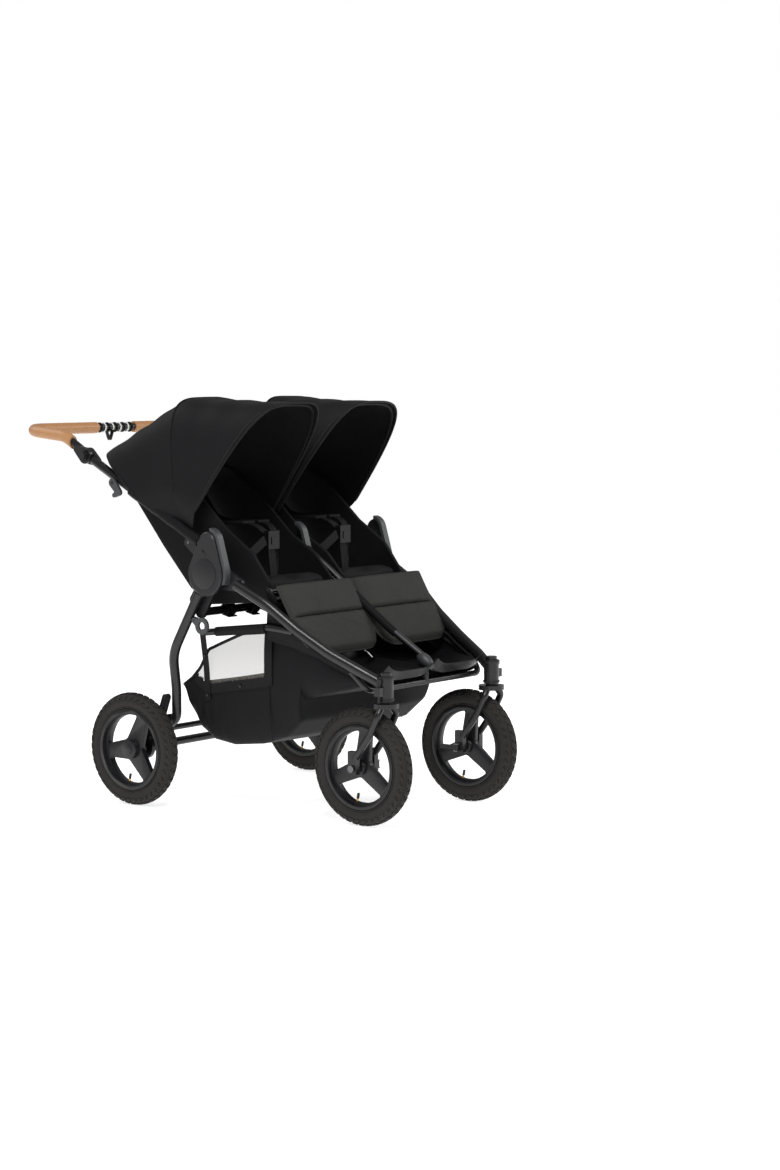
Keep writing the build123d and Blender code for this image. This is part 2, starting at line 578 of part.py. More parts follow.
well_line = [(-424, 556), (-504, 402), (-530, 380), (-724, 368), (-744, 392)]
well = band(well_line[::-1], FABRIC, (LEG_REST_INNER_X, 272))
well_plan = make_face(Polyline(
    (10, -400), (272, -400), (272, -560), (234, -690), (196, -760), (10, -760), close=True))
well = well & extrude(Pos(0, 0, 300) * well_plan, 320)
keep("footwells", [well - nose, mirrored(well - nose)])

BASKET_FLOOR = [
    (-112, 325), (-128, 262), (-160, 206), (-200, 180), (-270, 171), (-368, 182), (-446, 206),
    (-505, 256), (-514, 312), (-600, 332), (-686, 350),
]
floor = band(BASKET_FLOOR[::-1], FABRIC, (-BASKET_HALF, BASKET_HALF))
side_outline = BASKET_FLOOR + [(-686, 380), (-600, 424), (-530, 462), (-440, 488), (-222, 462), (-218, 430)]
side = slab(side_outline, (-BASKET_HALF, BASKET_HALF))
plan_outer = make_face(Polyline(
    (BASKET_HALF, -60), (BASKET_HALF, -560), (BASKET_NOSE_HALF, -690), (-BASKET_NOSE_HALF, -690),
    (-BASKET_HALF, -560), (-BASKET_HALF, -60), close=True))
plan_inner = make_face(Polyline(
    (BASKET_HALF - FABRIC, -40), (BASKET_HALF - FABRIC, -559), (BASKET_NOSE_HALF - FABRIC, -700),
    (-BASKET_NOSE_HALF + FABRIC, -700), (-BASKET_HALF + FABRIC, -559), (-BASKET_HALF + FABRIC, -40),
    close=True))
tall = Pos(0, 0, 150)
side = side & extrude(tall * (plan_outer - plan_inner), 400)
floor = floor & extrude(tall * plan_outer, 400)
basket = floor + side - rail - mirrored(rail) - front_cross
keep("basket", basket)


def arch_face(angle, inset_x, top_r, thickness):
    """A canopy's cross-section, a rounded arch of cloth, in the half-plane at an angle round its pivot."""
    direction = (0, cos(radians(angle)), sin(radians(angle)))
    where = Plane((0, *CANOPY_PIVOT), x_dir=(1, 0, 0), z_dir=(0, -direction[2], direction[1]))
    shoulder = top_r - CANOPY_SHOULDER

    def outline(grow):
        low, high = CANOPY_INNER_X + inset_x + grow, CANOPY_OUTER_X - inset_x - grow
        top = top_r - grow
        return [
            (low, 16), (low, shoulder), (low + 55, top - 22), (low + 130, top),
            (high - 120, top), (high - 48, top - 26), (high, shoulder), (high, 16),
        ]

    points = outline(0) + outline(thickness)[::-1]
    return where * make_face(Polyline(*points, close=True))


def canopy_layer(sections, inset_x, thickness):
    """A cloth or bow layer lofted through arches given as (angle, top radius)."""
    faces = [arch_face(angle, inset_x, top_r, thickness) for angle, top_r in sections]
    return loft(faces, ruled=True)


def front_radius(angle):
    """Top radius of the front panel: the ridge drops evenly from the middle bow to the front bow."""
    share = (angle - CANOPY_MID_ANGLE) / (CANOPY_FRONT_ANGLE - CANOPY_MID_ANGLE)
    height = CANOPY_MID_HEIGHT + share * (CANOPY_FRONT_HEIGHT - CANOPY_MID_HEIGHT)
    return height / sin(radians(angle))


def rear_radius(angle):
    """Top radius of the rear panel: cloth pulled straight between the middle bow and its rear edge."""
    middle = (CANOPY_REAR_ANGLE + CANOPY_MID_ANGLE) / 2
    nearest = CANOPY_MID_HEIGHT * cos(radians(CANOPY_MID_ANGLE - middle))
    return nearest / cos(radians(angle - middle)) - rear_inset


def spread(first, last):
    """Evenly spaced angles from first to last."""
    return [first + i * (last - first) / CANOPY_STEPS for i in range(CANOPY_STEPS + 1)]


rear_inset = 2 * CANOPY_CLOTH + CANOPY_BOW + 2 * CANOPY_LAYER_GAP
rear_sections = [(a, rear_radius(a)) for a in spread(CANOPY_REAR_ANGLE, CANOPY_MID_ANGLE)]
canopy_rear = canopy_layer(rear_sections, rear_inset, CANOPY_CLOTH)
keep("canopy_rears", [canopy_rear, mirrored(canopy_rear)])
front_sections = [(a, front_radius(a)) for a in spread(CANOPY_MID_ANGLE, CANOPY_FRONT_ANGLE)]
canopy_front = canopy_layer(front_sections, 0, CANOPY_CLOTH)
keep("canopy_front_left", canopy_front)
keep("canopy_front_right", mirrored(canopy_front))
bow_inset = CANOPY_CLOTH + CANOPY_LAYER_GAP
bow_angles = (CANOPY_FRONT_ANGLE - 3, CANOPY_FRONT_ANGLE)
bow_sections = [(a, front_radius(a) - CANOPY_BOW_DROP) for a in bow_angles]
bow = canopy_layer(bow_sections, bow_inset, CANOPY_BOW)
for x_low, x_high in (
    (CANOPY_OUTER_X - bow_inset - CANOPY_BOW, CANOPY_OUTER_X - bow_inset),
    (CANOPY_INNER_X + bow_inset, CANOPY_INNER_X + bow_inset + CANOPY_BOW),
):
    angle = radians(CANOPY_FRONT_ANGLE - 1.5)
    reach = (CANOPY_PIVOT[0] + 22 * cos(angle), CANOPY_PIVOT[1] + 22 * sin(angle))
    bow += plate([(*CANOPY_PIVOT, 10), (*reach, 4)], (x_low, x_high))
bow -= disc(CANOPY_PIVOT, CANOPY_PIN_R + RUNNING_GAP, (0, 300))
keep("canopy_bow_left", bow)
keep("canopy_bow_right", mirrored(bow))

# ================================================================ export
os.makedirs("parts", exist_ok=True)
for node, solids in PARTS.items():
    placed = [Pos(0, -CENTRE_Y, 0) * solid for solid in solids]
    shape = placed[0] if len(placed) == 1 else Compound(placed)
    export_step(shape, f"parts/{node}.step")
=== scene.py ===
"""Visual model of a side-by-side jogging stroller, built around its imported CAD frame.

Metres, in the frame's own axes: +Z up, -Y the way the stroller faces, +X its left side.
"""

import json
from math import atan2, cos, pi, radians, sin

import bmesh
import bpy
from mathutils import Matrix, Vector


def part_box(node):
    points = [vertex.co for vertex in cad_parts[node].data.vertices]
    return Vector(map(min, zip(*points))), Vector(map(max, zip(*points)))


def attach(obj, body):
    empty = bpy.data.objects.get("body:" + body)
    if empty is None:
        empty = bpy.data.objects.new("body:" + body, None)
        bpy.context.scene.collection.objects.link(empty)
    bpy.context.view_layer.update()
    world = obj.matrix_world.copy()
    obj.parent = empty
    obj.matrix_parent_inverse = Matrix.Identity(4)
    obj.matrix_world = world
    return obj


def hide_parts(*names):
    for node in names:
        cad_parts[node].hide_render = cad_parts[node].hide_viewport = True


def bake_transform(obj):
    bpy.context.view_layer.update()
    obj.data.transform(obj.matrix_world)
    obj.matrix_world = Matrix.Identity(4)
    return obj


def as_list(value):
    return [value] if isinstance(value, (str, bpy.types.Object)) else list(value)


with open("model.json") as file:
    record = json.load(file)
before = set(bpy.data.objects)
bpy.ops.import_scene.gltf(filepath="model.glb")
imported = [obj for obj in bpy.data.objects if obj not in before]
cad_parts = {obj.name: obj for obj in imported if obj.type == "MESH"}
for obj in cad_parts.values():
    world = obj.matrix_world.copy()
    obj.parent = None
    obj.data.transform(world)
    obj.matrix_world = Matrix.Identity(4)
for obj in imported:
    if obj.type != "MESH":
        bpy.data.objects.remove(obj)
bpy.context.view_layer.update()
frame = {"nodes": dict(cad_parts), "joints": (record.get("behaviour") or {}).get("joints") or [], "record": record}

bl_info = {
    "name": "Side-by-side jogging stroller",
    "version": (1, 0, 0),
    "blender": (4, 5, 0),
    "location": "View3D > Sidebar > Stroller",
    "description": "Builds the cloth, tyres, trim and finishes of a side-by-side jogging stroller",
    "category": "Object",
}

RECORD = frame["record"]
JOINTS = {joint["name"]: joint for joint in frame["joints"]}
SIDES = {"left": 1, "right": -1}


def pivot(joint):
    """A hinge's centre as a vector."""
    return Vector(JOINTS[joint]["pos_m"])


HUB = pivot("fold")
CANOPY = pivot("canopy_left")
HANDLE = pivot("handle_tilt")
LEG_REST = pivot("leg_rest_left")
SEAT = pivot("recline_left")


# ---------------------------------------------------------------- sizes and colours
def length(name, description, default):
    """A size in metres that a user can change."""
    return bpy.props.FloatProperty(name=name, description=description, default=default, unit="LENGTH")


def tint(name, description, default):
    """A colour that a user can change."""
    return bpy.props.FloatVectorProperty(
        name=name, description=description, default=default, size=3, subtype="COLOR", min=0, max=1)


class StrollerSizes(bpy.types.PropertyGroup):
    tread_depth: length("Tread depth", "How far the tyre blocks stand out", 0.0026)
    cloth: length("Cloth thickness", "Thickness of canopy and basket cloth", 0.0018)
    canopy_inner: length("Canopy inner side", "Distance of the canopy's inner side from the middle", 0.0125)
    canopy_outer: length("Canopy outer side", "Distance of the canopy's outer side from the middle", 0.2885)
    canopy_bulge: length("Canopy bulge", "How far the outer side stands over the push tube", 0.046)
    canopy_top: length("Canopy height", "Ridge height over the pivot at the middle bow", 0.381)
    canopy_front: length("Canopy front height", "Ridge height over the pivot at the front bow", 0.366)
    piping: length("Piping", "Radius of the piping on the cloth edges", 0.0028)
    pad_swell: length("Pad swell", "The most that a padded surface rises", 0.009)
    voxel: length("Pad mesh size", "Mesh size the pads are simulated at", 0.006)
    webbing: length("Webbing width", "Width of the harness straps", 0.025)


class StrollerColours(bpy.types.PropertyGroup):
    canvas: tint("Black canvas", "Canopies, seats and basket", (0.0042, 0.0042, 0.0048))
    charcoal: tint("Charcoal", "Quilted leg rests", (0.0222, 0.0222, 0.0208))
    coat: tint("Powder coat", "Frame tubes", (0.006, 0.006, 0.0065))
    silver: tint("Silver", "Centre tube", (0.13, 0.13, 0.135))
    grey: tint("Grey parts", "Brackets, cap, levers", (0.034, 0.037, 0.038))
    leather: tint("Leather", "Handle grips", (0.37, 0.180, 0.072))
    tyre: tint("Tyre", "Tyre rubber", (0.0150, 0.0138, 0.0125))


def sizes():
    """The sizes that the panel holds."""
    return bpy.context.scene.stroller_sizes


def colours():
    """The colours that the panel holds."""
    return bpy.context.scene.stroller_colours


# ---------------------------------------------------------------- node groups
def group(name, inputs):
    """An empty shader node group that puts out Shade and Height."""
    tree = bpy.data.node_groups.new(name, "ShaderNodeTree")
    for label, default in inputs:
        socket = tree.interface.new_socket(name=label, in_out="INPUT", socket_type="NodeSocketFloat")
        socket.default_value = default
    for label in ("Shade", "Height"):
        tree.interface.new_socket(name=label, in_out="OUTPUT", socket_type="NodeSocketFloat")
    return tree, tree.nodes.new("NodeGroupInput"), tree.nodes.new("NodeGroupOutput")


def math_node(tree, operation, first, second):
    """A Math node on two numbers or sockets; gives its output socket."""
    node = tree.nodes.new("ShaderNodeMath")
    node.operation = operation
    for socket, value in zip(node.inputs, (first, second)):
        if isinstance(value, (int, float)):
            socket.default_value = value
        else:
            tree.links.new(value, socket)
    return node.outputs[0]


def noise(tree, where, scale, detail=3.0):
    """A noise texture at where; gives its Fac socket."""
    node = tree.nodes.new("ShaderNodeTexNoise")
    node.inputs["Detail"].default_value = detail
    tree.links.new(where, node.inputs["Vector"])
    if isinstance(scale, (int, float)):
        node.inputs["Scale"].default_value = scale
    else:
        tree.links.new(scale, node.inputs["Scale"])
    return node.outputs["Fac"]


def grain_group():
    """Moulded or sprayed grain with slow patches of wear."""
    tree, given, out = group("Grain", [("Scale", 900.0)])
    where = tree.nodes.new("ShaderNodeTexCoord").outputs["Object"]
    fine = noise(tree, where, given.outputs["Scale"])
    slow = noise(tree, where, 14.0, 5.0)
    tree.links.new(math_node(tree, "MULTIPLY", slow, math_node(tree, "ADD", fine, 0.5)), out.inputs["Shade"])
    tree.links.new(fine, out.inputs["Height"])
    return tree


def weave_group():
    """Crossed threads, each a noise drawn out along its own direction, with slow lighter patches."""
    tree, given, out = group("Weave", [("Scale", 900.0)])
    where = tree.nodes.new("ShaderNodeTexCoord").outputs["Object"]
    threads = []
    for stretch in ((0.18, 1.0, 1.0), (1.0, 0.3, 0.3)):
        drawn = tree.nodes.new("ShaderNodeMapping")
        drawn.inputs["Scale"].default_value = stretch
        tree.links.new(where, drawn.inputs["Vector"])
        threads.append(noise(tree, drawn.outputs["Vector"], given.outputs["Scale"], 1.0))
    crossed = math_node(tree, "MAXIMUM", threads[0], threads[1])
    slow = noise(tree, where, 9.0, 6.0)
    tree.links.new(math_node(tree, "MULTIPLY", slow, crossed), out.inputs["Shade"])
    tree.links.new(crossed, out.inputs["Height"])
    return tree


GROUPS = {}


def effect(name):
    """The shared node group of that name, built on first use."""
    if name not in GROUPS:
        GROUPS[name] = {"Grain": grain_group, "Weave": weave_group}[name]()
    return GROUPS[name]


# ---------------------------------------------------------------- materials
MATERIALS = {}


def surface(name, colour, pattern, scale, roughness, spread=1.6, bump=0.25, depth=0.0004, **shader):
    """A Principled material whose colour and bump follow a shared pattern."""
    if name in MATERIALS:
        return MATERIALS[name]
    material = bpy.data.materials.new(name)
    material.use_nodes = True
    tree = material.node_tree
    principled = tree.nodes["Principled BSDF"]
    principled.inputs["Roughness"].default_value = roughness
    for socket, value in shader.items():
        principled.inputs[socket.replace("_", " ")].default_value = value
    source = tree.nodes.new("ShaderNodeGroup")
    source.node_tree = effect(pattern)
    source.inputs["Scale"].default_value = scale
    mix = tree.nodes.new("ShaderNodeMix")
    mix.data_type = "RGBA"
    tree.links.new(source.outputs["Shade"], mix.inputs["Factor"])
    mix.inputs["A"].default_value = (*colour, 1)
    mix.inputs["B"].default_value = (*[min(1.0, c * spread) for c in colour], 1)
    tree.links.new(mix.outputs["Result"], principled.inputs["Base Color"])
    raised = tree.nodes.new("ShaderNodeBump")
    raised.inputs["Strength"].default_value = bump
    raised.inputs["Distance"].default_value = depth
    tree.links.new(source.outputs["Height"], raised.inputs["Height"])
    tree.links.new(raised.outputs["Normal"], principled.inputs["Normal"])
    MATERIALS[name] = material
    return material


def canvas():
    return surface("Black canvas", colours().canvas, "Weave", 900, 0.62, 2.4, 0.35, Specular_IOR_Level=0.12)


def charcoal():
    return surface("Charcoal twill", colours().charcoal, "Weave", 700, 0.8, 1.9, 0.6,
                   Specular_IOR_Level=0.18)


def slick_cloth():
    return surface("Slick lining", colours().canvas, "Weave", 1100, 0.34, 1.8, 0.15, Specular_IOR_Level=0.3)


def webbing():
    return surface("Webbing", (0.0045, 0.0045, 0.005), "Weave", 1300, 0.6, 2.0, 0.6, Specular_IOR_Level=0.16)


def powder_coat():
    return surface("Powder coat", colours().coat, "Grain", 1400, 0.30, 1.7, 0.08, Specular_IOR_Level=0.4)


def silver():
    return surface("Anodised tube", colours().silver, "Grain", 1800, 0.28, 1.05, 0.05, Metallic=1.0)


def steel():
    return surface("Zinc plate", (0.13, 0.13, 0.135), "Grain", 1100, 0.34, 1.2, 0.1, Metallic=1.0)


def brass():
    return surface("Brass", (0.60, 0.38, 0.12), "Grain", 1300, 0.32, 1.2, 0.1, Metallic=1.0)


def grey_plastic():
    return surface("Grey plastic", colours().grey, "Grain", 1500, 0.48, 1.2, 0.15)


def black_plastic():
    return surface("Black plastic", (0.007, 0.007, 0.008), "Grain", 1200, 0.45, 1.8, 0.2,
                   Specular_IOR_Level=0.35)


def gloss_plastic():
    return surface("Gloss plastic", (0.004, 0.004, 0.0045), "Grain", 700, 0.20, 1.4, 0.03,
                   Specular_IOR_Level=0.3)


def rim_plastic():
    return surface("Rim", (0.005, 0.005, 0.006), "Grain", 1000, 0.36, 1.8, 0.1, Specular_IOR_Level=0.35)


def tyre_rubber():
    return surface("Tyre rubber", colours().tyre, "Grain", 650, 0.8, 1.7, 0.4, Specular_IOR_Level=0.25)


def leather():
    return surface("Tan leather", colours().leather, "Grain", 700, 0.5, 1.18, 0.25, Coat_Weight=0.08)


def thread():
    return surface("Pale thread", (0.62, 0.45, 0.28), "Grain", 2200, 0.7, 1.2, 0.3)


def white_webbing():
    return surface("White webbing", (0.62, 0.62, 0.60), "Weave", 1300, 0.7, 1.2, 0.6)


def mesh_cloth():
    """Open net: seven tenths of it is hole."""
    return surface("Basket net", (0.16, 0.15, 0.135), "Weave", 1300, 0.7, 1.6, 0.3, Alpha=0.30)


SLOT_FINISH = {
    "black_frame": powder_coat, "silver_metal": silver, "grey_bracket": grey_plastic,
    "black_plastic": black_plastic, "gloss_buckle": gloss_plastic, "steel": steel,
    "rim_black": rim_plastic, "tyre_rubber": tyre_rubber, "elastomer": tyre_rubber,
    "tan_leather": leather, "black_fabric": canvas, "charcoal_fabric": charcoal,
}


# ---------------------------------------------------------------- modelling helpers
def clear():
    """Leave edit mode and select nothing."""
    if bpy.context.object and bpy.context.object.mode != "OBJECT":
        bpy.ops.object.mode_set(mode="OBJECT")
    bpy.ops.object.select_all(action="DESELECT")


def pick(piece):
    """Select one piece and make it active."""
    clear()
    piece.select_set(True)
    bpy.context.view_layer.objects.active = piece


def fresh(name):
    """Name the primitive that was just added and settle its place in its mesh."""
    piece = bpy.context.active_object
    piece.name = piece.data.name = name
    pick(piece)
    bpy.ops.object.transform_apply(location=True, rotation=True, scale=True)
    return piece


def modify(piece, kind, **values):
    """Add a modifier with these values and apply it."""
    pick(piece)
    modifier = piece.modifiers.new(kind.title(), kind)
    for key, value in values.items():
        setattr(modifier, key, value)
    bpy.ops.object.modifier_apply(modifier=modifier.name)


def smooth(piece, angle=40):
    """Shade smooth, except over edges sharper than angle in degrees."""
    pick(piece)
    bpy.ops.object.shade_smooth_by_angle(angle=radians(angle))


def dress(piece, material):
    """Give a piece its material."""
    piece.data.materials.clear()
    piece.data.materials.append(material)
    return piece


def copied(piece, name, move=(0, 0, 0), flip=False):
    """A copy with its own mesh, moved, and turned into the other side's piece where flip is set."""
    twin = piece.copy()
    twin.data = piece.data.copy()
    twin.name = twin.data.name = name
    bpy.context.scene.collection.objects.link(twin)
    twin.data.transform(Matrix.Translation(move))
    if flip:
        twin.data.transform(Matrix.Diagonal((-1, 1, 1, 1)))
        twin.data.flip_normals()
    return twin


def sheet(name, place, across, along):
    """A grid whose points are put in place by a function of u and v from 0 to 1."""
    clear()
    bpy.ops.mesh.primitive_grid_add(x_subdivisions=across, y_subdivisions=along, size=2)
    piece = fresh(name)
    for vertex in piece.data.vertices:
        vertex.co = place((vertex.co.x + 1) / 2, (vertex.co.y + 1) / 2)
    pick(piece)
    bpy.ops.object.mode_set(mode="EDIT")
    bpy.ops.mesh.select_all(action="SELECT")
    bpy.ops.mesh.normals_make_consistent(inside=False)
    bpy.ops.object.mode_set(mode="OBJECT")
    return piece


def step_on(line, v):
    """Which run of a line the share v from 0 to 1 falls on, and how far along that run."""
    spot = v * (len(line) - 1)
    i = min(int(spot), len(line) - 2)
    return i, spot - i


def along_line(line, v):
    """The point at share v of a side-view line of (y, z) pairs."""
    i, t = step_on(line, v)
    return tuple(line[i][k] + (line[i + 1][k] - line[i][k]) * t for k in (0, 1))


def cable(name, points, radius, closed=False):
    """A smooth round bead along points, as a mesh."""
    curve = bpy.data.curves.new(name, "CURVE")
    curve.dimensions = "3D"
    curve.bevel_depth = radius
    curve.bevel_resolution = 3
    curve.use_fill_caps = True
    spline = curve.splines.new("NURBS")
    spline.points.add(len(points) - 1)
    for target, point in zip(spline.points, points):
        target.co = (*point, 1)
    spline.order_u = 3
    spline.use_endpoint_u = not closed
    spline.use_cyclic_u = closed
    piece = bpy.data.objects.new(name, curve)
    bpy.context.scene.collection.objects.link(piece)
    pick(piece)
    bpy.ops.object.convert(target="MESH")
    smooth(piece, 60)
    return piece


def ribbon(name, points, side, width, thickness):
    """A flat strap along points; side is the direction of its width."""
    points = [Vector(p) for p in points]
    side = Vector(side).normalized()

    def place(u, v):
        i, t = step_on(points, v)
        before, first = points[max(i - 1, 0)], points[i]
        last, after = points[i + 1], points[min(i + 2, len(points) - 1)]
        middle = 0.5 * (2 * first + (last - before) * t + (2 * before - 5 * first + 4 * last - after) * t * t
                        + (3 * first - before - 3 * last + after) * t ** 3)
        return middle + side * width * (u - 0.5)

    piece = sheet(name, place, 3, 8 * (len(points) - 1))
    modify(piece, "SOLIDIFY", thickness=thickness, offset=0)
    smooth(piece, 50)
    return piece


def rod(name, start, end, radius, bevel=0.0006, sides=24):
    """A short round piece with softened edges between two points."""
    start, end = Vector(start), Vector(end)
    run = end - start
    clear()
    bpy.ops.mesh.primitive_cylinder_add(
        vertices=sides, radius=radius, depth=run.length, location=(start + end) / 2,
        rotation=run.to_track_quat("Z", "Y").to_euler())
    piece = fresh(name)
    modify(piece, "BEVEL", width=bevel, segments=2, limit_method="ANGLE")
    smooth(piece)
    return piece


def pad(name, low, high, bevel):
    """A rounded block to be swollen into a pad."""
    low, high = Vector(low), Vector(high)
    clear()
    bpy.ops.mesh.primitive_cube_add(size=1, location=(low + high) / 2, scale=high - low)
    piece = fresh(name)
    modify(piece, "BEVEL", width=bevel, segments=4)
    return piece


def swell(piece, cap):
    """Inflate a closed form as stuffed cloth, with no point moving further than cap."""
    modify(piece, "REMESH", mode="VOXEL", voxel_size=sizes().voxel)
    start = [vertex.co.copy() for vertex in piece.data.vertices]
    pick(piece)
    cloth = piece.modifiers.new("Cloth", "CLOTH")
    cloth.settings.use_pressure = True
    cloth.settings.uniform_pressure_force = 4
    cloth.settings.effector_weights.gravity = 0
    cloth.point_cache.frame_start = 1
    cloth.point_cache.frame_end = 20
    for step in range(1, 21):
        bpy.context.scene.frame_set(step)
    bpy.ops.object.modifier_apply(modifier=cloth.name)
    bpy.context.scene.frame_set(1)
    for vertex, home in zip(piece.data.vertices, start):
        move = vertex.co - home
        if move.length > cap:
            vertex.co = home + move * (cap / move.length)
    modify(piece, "SUBSURF", levels=1, render_levels=1)
    smooth(piece, 80)


def crease(piece, weight, depth, along):
    """Press a stitched channel into a pad: weight says how much of depth each point takes."""
    for vertex in piece.data.vertices:
        vertex.co -= Vector(along) * depth * weight(vertex.co)


# ---------------------------------------------------------------- frame finishes
def finish_nodes():
    """Put each frame piece in the finish that its record slot names."""
    for sub in RECORD["subparts"]:
        node = frame["nodes"][sub["node"]]
        material = SLOT_FINISH[sub["material_slot"]]()
        if not node.material_slots:
            node.data.materials.append(material)
        node.material_slots[0].link = "OBJECT"
        node.material_slots[0].material = material


# ---------------------------------------------------------------- wheels
TREAD_STEPS = 168
TREAD_ROWS = 24
BLOCK_ROWS = ((1, 2), (4, 5, 6, 7), (9, 10))
REAR_SPOKE = 113
FRONT_SPOKE = 97
HUB_R = {"front": 0.020, "rear": 0.026}
SPOKE_COUNT = 3
RIM_SIDES = 120
RIM_SEAT = 0.109
RIM_LIP = 0.099
RIM_HALF = 0.020
HUB_HALF = 0.022
VALVE_TURN = radians(-78)


def tyre_mesh(outer, section):
    """A tyre round the X axis at the origin, with staggered blocks across its crown."""
    minor = section / 2 - sizes().tread_depth
    major = outer - section / 2
    clear()
    bpy.ops.mesh.primitive_torus_add(
        major_segments=TREAD_STEPS, minor_segments=TREAD_ROWS, major_radius=major, minor_radius=minor,
        rotation=(0, pi / 2, 0))
    piece = fresh("tyre")
    bpy.ops.object.mode_set(mode="EDIT")
    mesh = bmesh.from_edit_mesh(piece.data)
    half = TREAD_ROWS // 2
    for face in mesh.faces:
        centre = face.calc_center_median()
        step = int((atan2(centre.z, centre.y) % (2 * pi)) / (2 * pi) * TREAD_STEPS)
        lean = atan2(centre.x, Vector((0, centre.y, centre.z)).length - major)
        row = int((lean / pi + 0.5) * half)
        slant = int(abs(row - (half - 1) / 2))
        face.select = any(row in block for block in BLOCK_ROWS) and (step + slant) % 4 != 0
    bmesh.update_edit_mesh(piece.data)
    bpy.ops.mesh.inset(thickness=0.0008, use_individual=False)
    bpy.ops.mesh.extrude_region_shrink_fatten(
        TRANSFORM_OT_shrink_fatten={"value": sizes().tread_depth})
    bpy.ops.object.mode_set(mode="OBJECT")
    smooth(piece, 35)
    return piece


def disc(name, radius, depth):
    """A plain round block on the X axis at the origin, to be cut into or joined to a rim."""
    clear()
    bpy.ops.mesh.primitive_cylinder_add(
        vertices=RIM_SIDES, radius=radius, depth=depth, rotation=(0, pi / 2, 0))
    return fresh(name)


def rim_mesh(seat, lip, half_width, hub, hub_half, spoke_turn):
    """A moulded wheel round the X axis at the origin: a rim, a hub and wide spokes with rounded windows."""
    plate = disc("rim_plate", lip + 0.002, 0.014)
    for i in range(SPOKE_COUNT):
        cut = spoke_window(lip, hub, spoke_turn + i * 2 * pi / SPOKE_COUNT)
        modify(plate, "BOOLEAN", operation="DIFFERENCE", object=cut, solver="EXACT")
        bpy.data.objects.remove(cut)
    band = disc("rim_band", seat, half_width * 2)
    bore = disc("rim_bore", lip, half_width * 3)
    modify(band, "BOOLEAN", operation="DIFFERENCE", object=bore, solver="EXACT")
    bpy.data.objects.remove(bore)
    barrel = rod("rim_barrel", (-hub_half, 0, 0), (hub_half, 0, 0), hub, 0.003, 48)
    for part in (band, barrel):
        modify(plate, "BOOLEAN", operation="UNION", object=part, solver="EXACT")
        bpy.data.objects.remove(part)
    modify(plate, "BEVEL", width=0.0013, segments=2, limit_method="ANGLE")
    smooth(plate, 35)
    return plate


def spoke_window(lip, hub, turn):
    """The prism that cuts one window between two spokes; turn is the direction of the first spoke."""
    half, reach, foot = 0.018, lip - 0.006, hub + 0.006
    gap = 2 * pi / SPOKE_COUNT
    arc = [0.5 * gap + share * (0.5 * gap - half / reach) for share in (-1, -0.66, -0.33, 0, 0.33, 0.66, 1)]
    outline = [(reach * cos(a), reach * sin(a)) for a in arc]
    near = half / sin(gap / 2)
    outline.append((max(near, foot) * cos(0.5 * gap), max(near, foot) * sin(0.5 * gap)))
    clear()
    bpy.ops.mesh.primitive_circle_add(vertices=len(outline), fill_type="NGON")
    cut = fresh("spoke_window")
    for vertex, (a, b) in zip(cut.data.vertices, outline):
        vertex.co = (-0.03, a * cos(turn) - b * sin(turn), a * sin(turn) + b * cos(turn))
    bpy.ops.object.mode_set(mode="EDIT")
    bpy.ops.mesh.select_all(action="SELECT")
    bpy.ops.mesh.bevel(offset=0.007, segments=4, affect="VERTICES")
    bpy.ops.mesh.select_all(action="SELECT")
    bpy.ops.mesh.extrude_region_move(TRANSFORM_OT_translate={"value": (0.06, 0, 0)})
    bpy.ops.mesh.select_all(action="SELECT")
    bpy.ops.mesh.normals_make_consistent(inside=False)
    bpy.ops.object.mode_set(mode="OBJECT")
    return cut


def side_beads(name, centre, radius, half):
    """The raised ring on each side wall."""
    turn = [radians(a) for a in range(0, 360, 15)]
    rings = []
    for sign in (-1, 1):
        points = [centre + Vector((sign * half, radius * cos(a), radius * sin(a))) for a in turn]
        rings.append(cable(f"{name}_{'outer' if sign > 0 else 'inner'}", points, 0.0016, closed=True))
    return rings


def build_wheels():
    """Tyres, rims, side rings and valves of all four wheels, and the rear wheels' hub caps."""
    for place in ("front", "rear"):
        low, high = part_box(f"{place}_tyre_left")
        model = tyre_mesh((high.z - low.z) / 2, high.x - low.x)
        turn = radians(REAR_SPOKE if place == "rear" else FRONT_SPOKE)
        rim_low, rim_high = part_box(f"{place}_rim_left")
        hub_half = (rim_high.x - rim_low.x) / 2
        rim_model = rim_mesh(RIM_SEAT, RIM_LIP, RIM_HALF, HUB_R[place], min(hub_half, HUB_HALF), turn)
        for side in SIDES:
            node = f"{place}_tyre_{side}"
            low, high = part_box(node)
            centre = (low + high) / 2
            body = f"{place}_wheel_{side}"
            tyre = dress(copied(model, f"{node}_tread", centre), tyre_rubber())
            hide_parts(node)
            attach(tyre, body)
            rim = dress(copied(rim_model, f"{place}_rim_moulded_{side}", centre), rim_plastic())
            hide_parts(f"{place}_rim_{side}")
            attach(rim, body)
            beads = side_beads(f"{node}_bead", centre, 0.113, 0.0185)
            beads += side_beads(f"{node}_ring", centre, 0.1215, 0.0196)
            for bead in beads:
                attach(dress(bead, tyre_rubber()), body)
            build_wheel_trim(place, side, centre, body)
        bpy.data.objects.remove(model)
        bpy.data.objects.remove(rim_model)


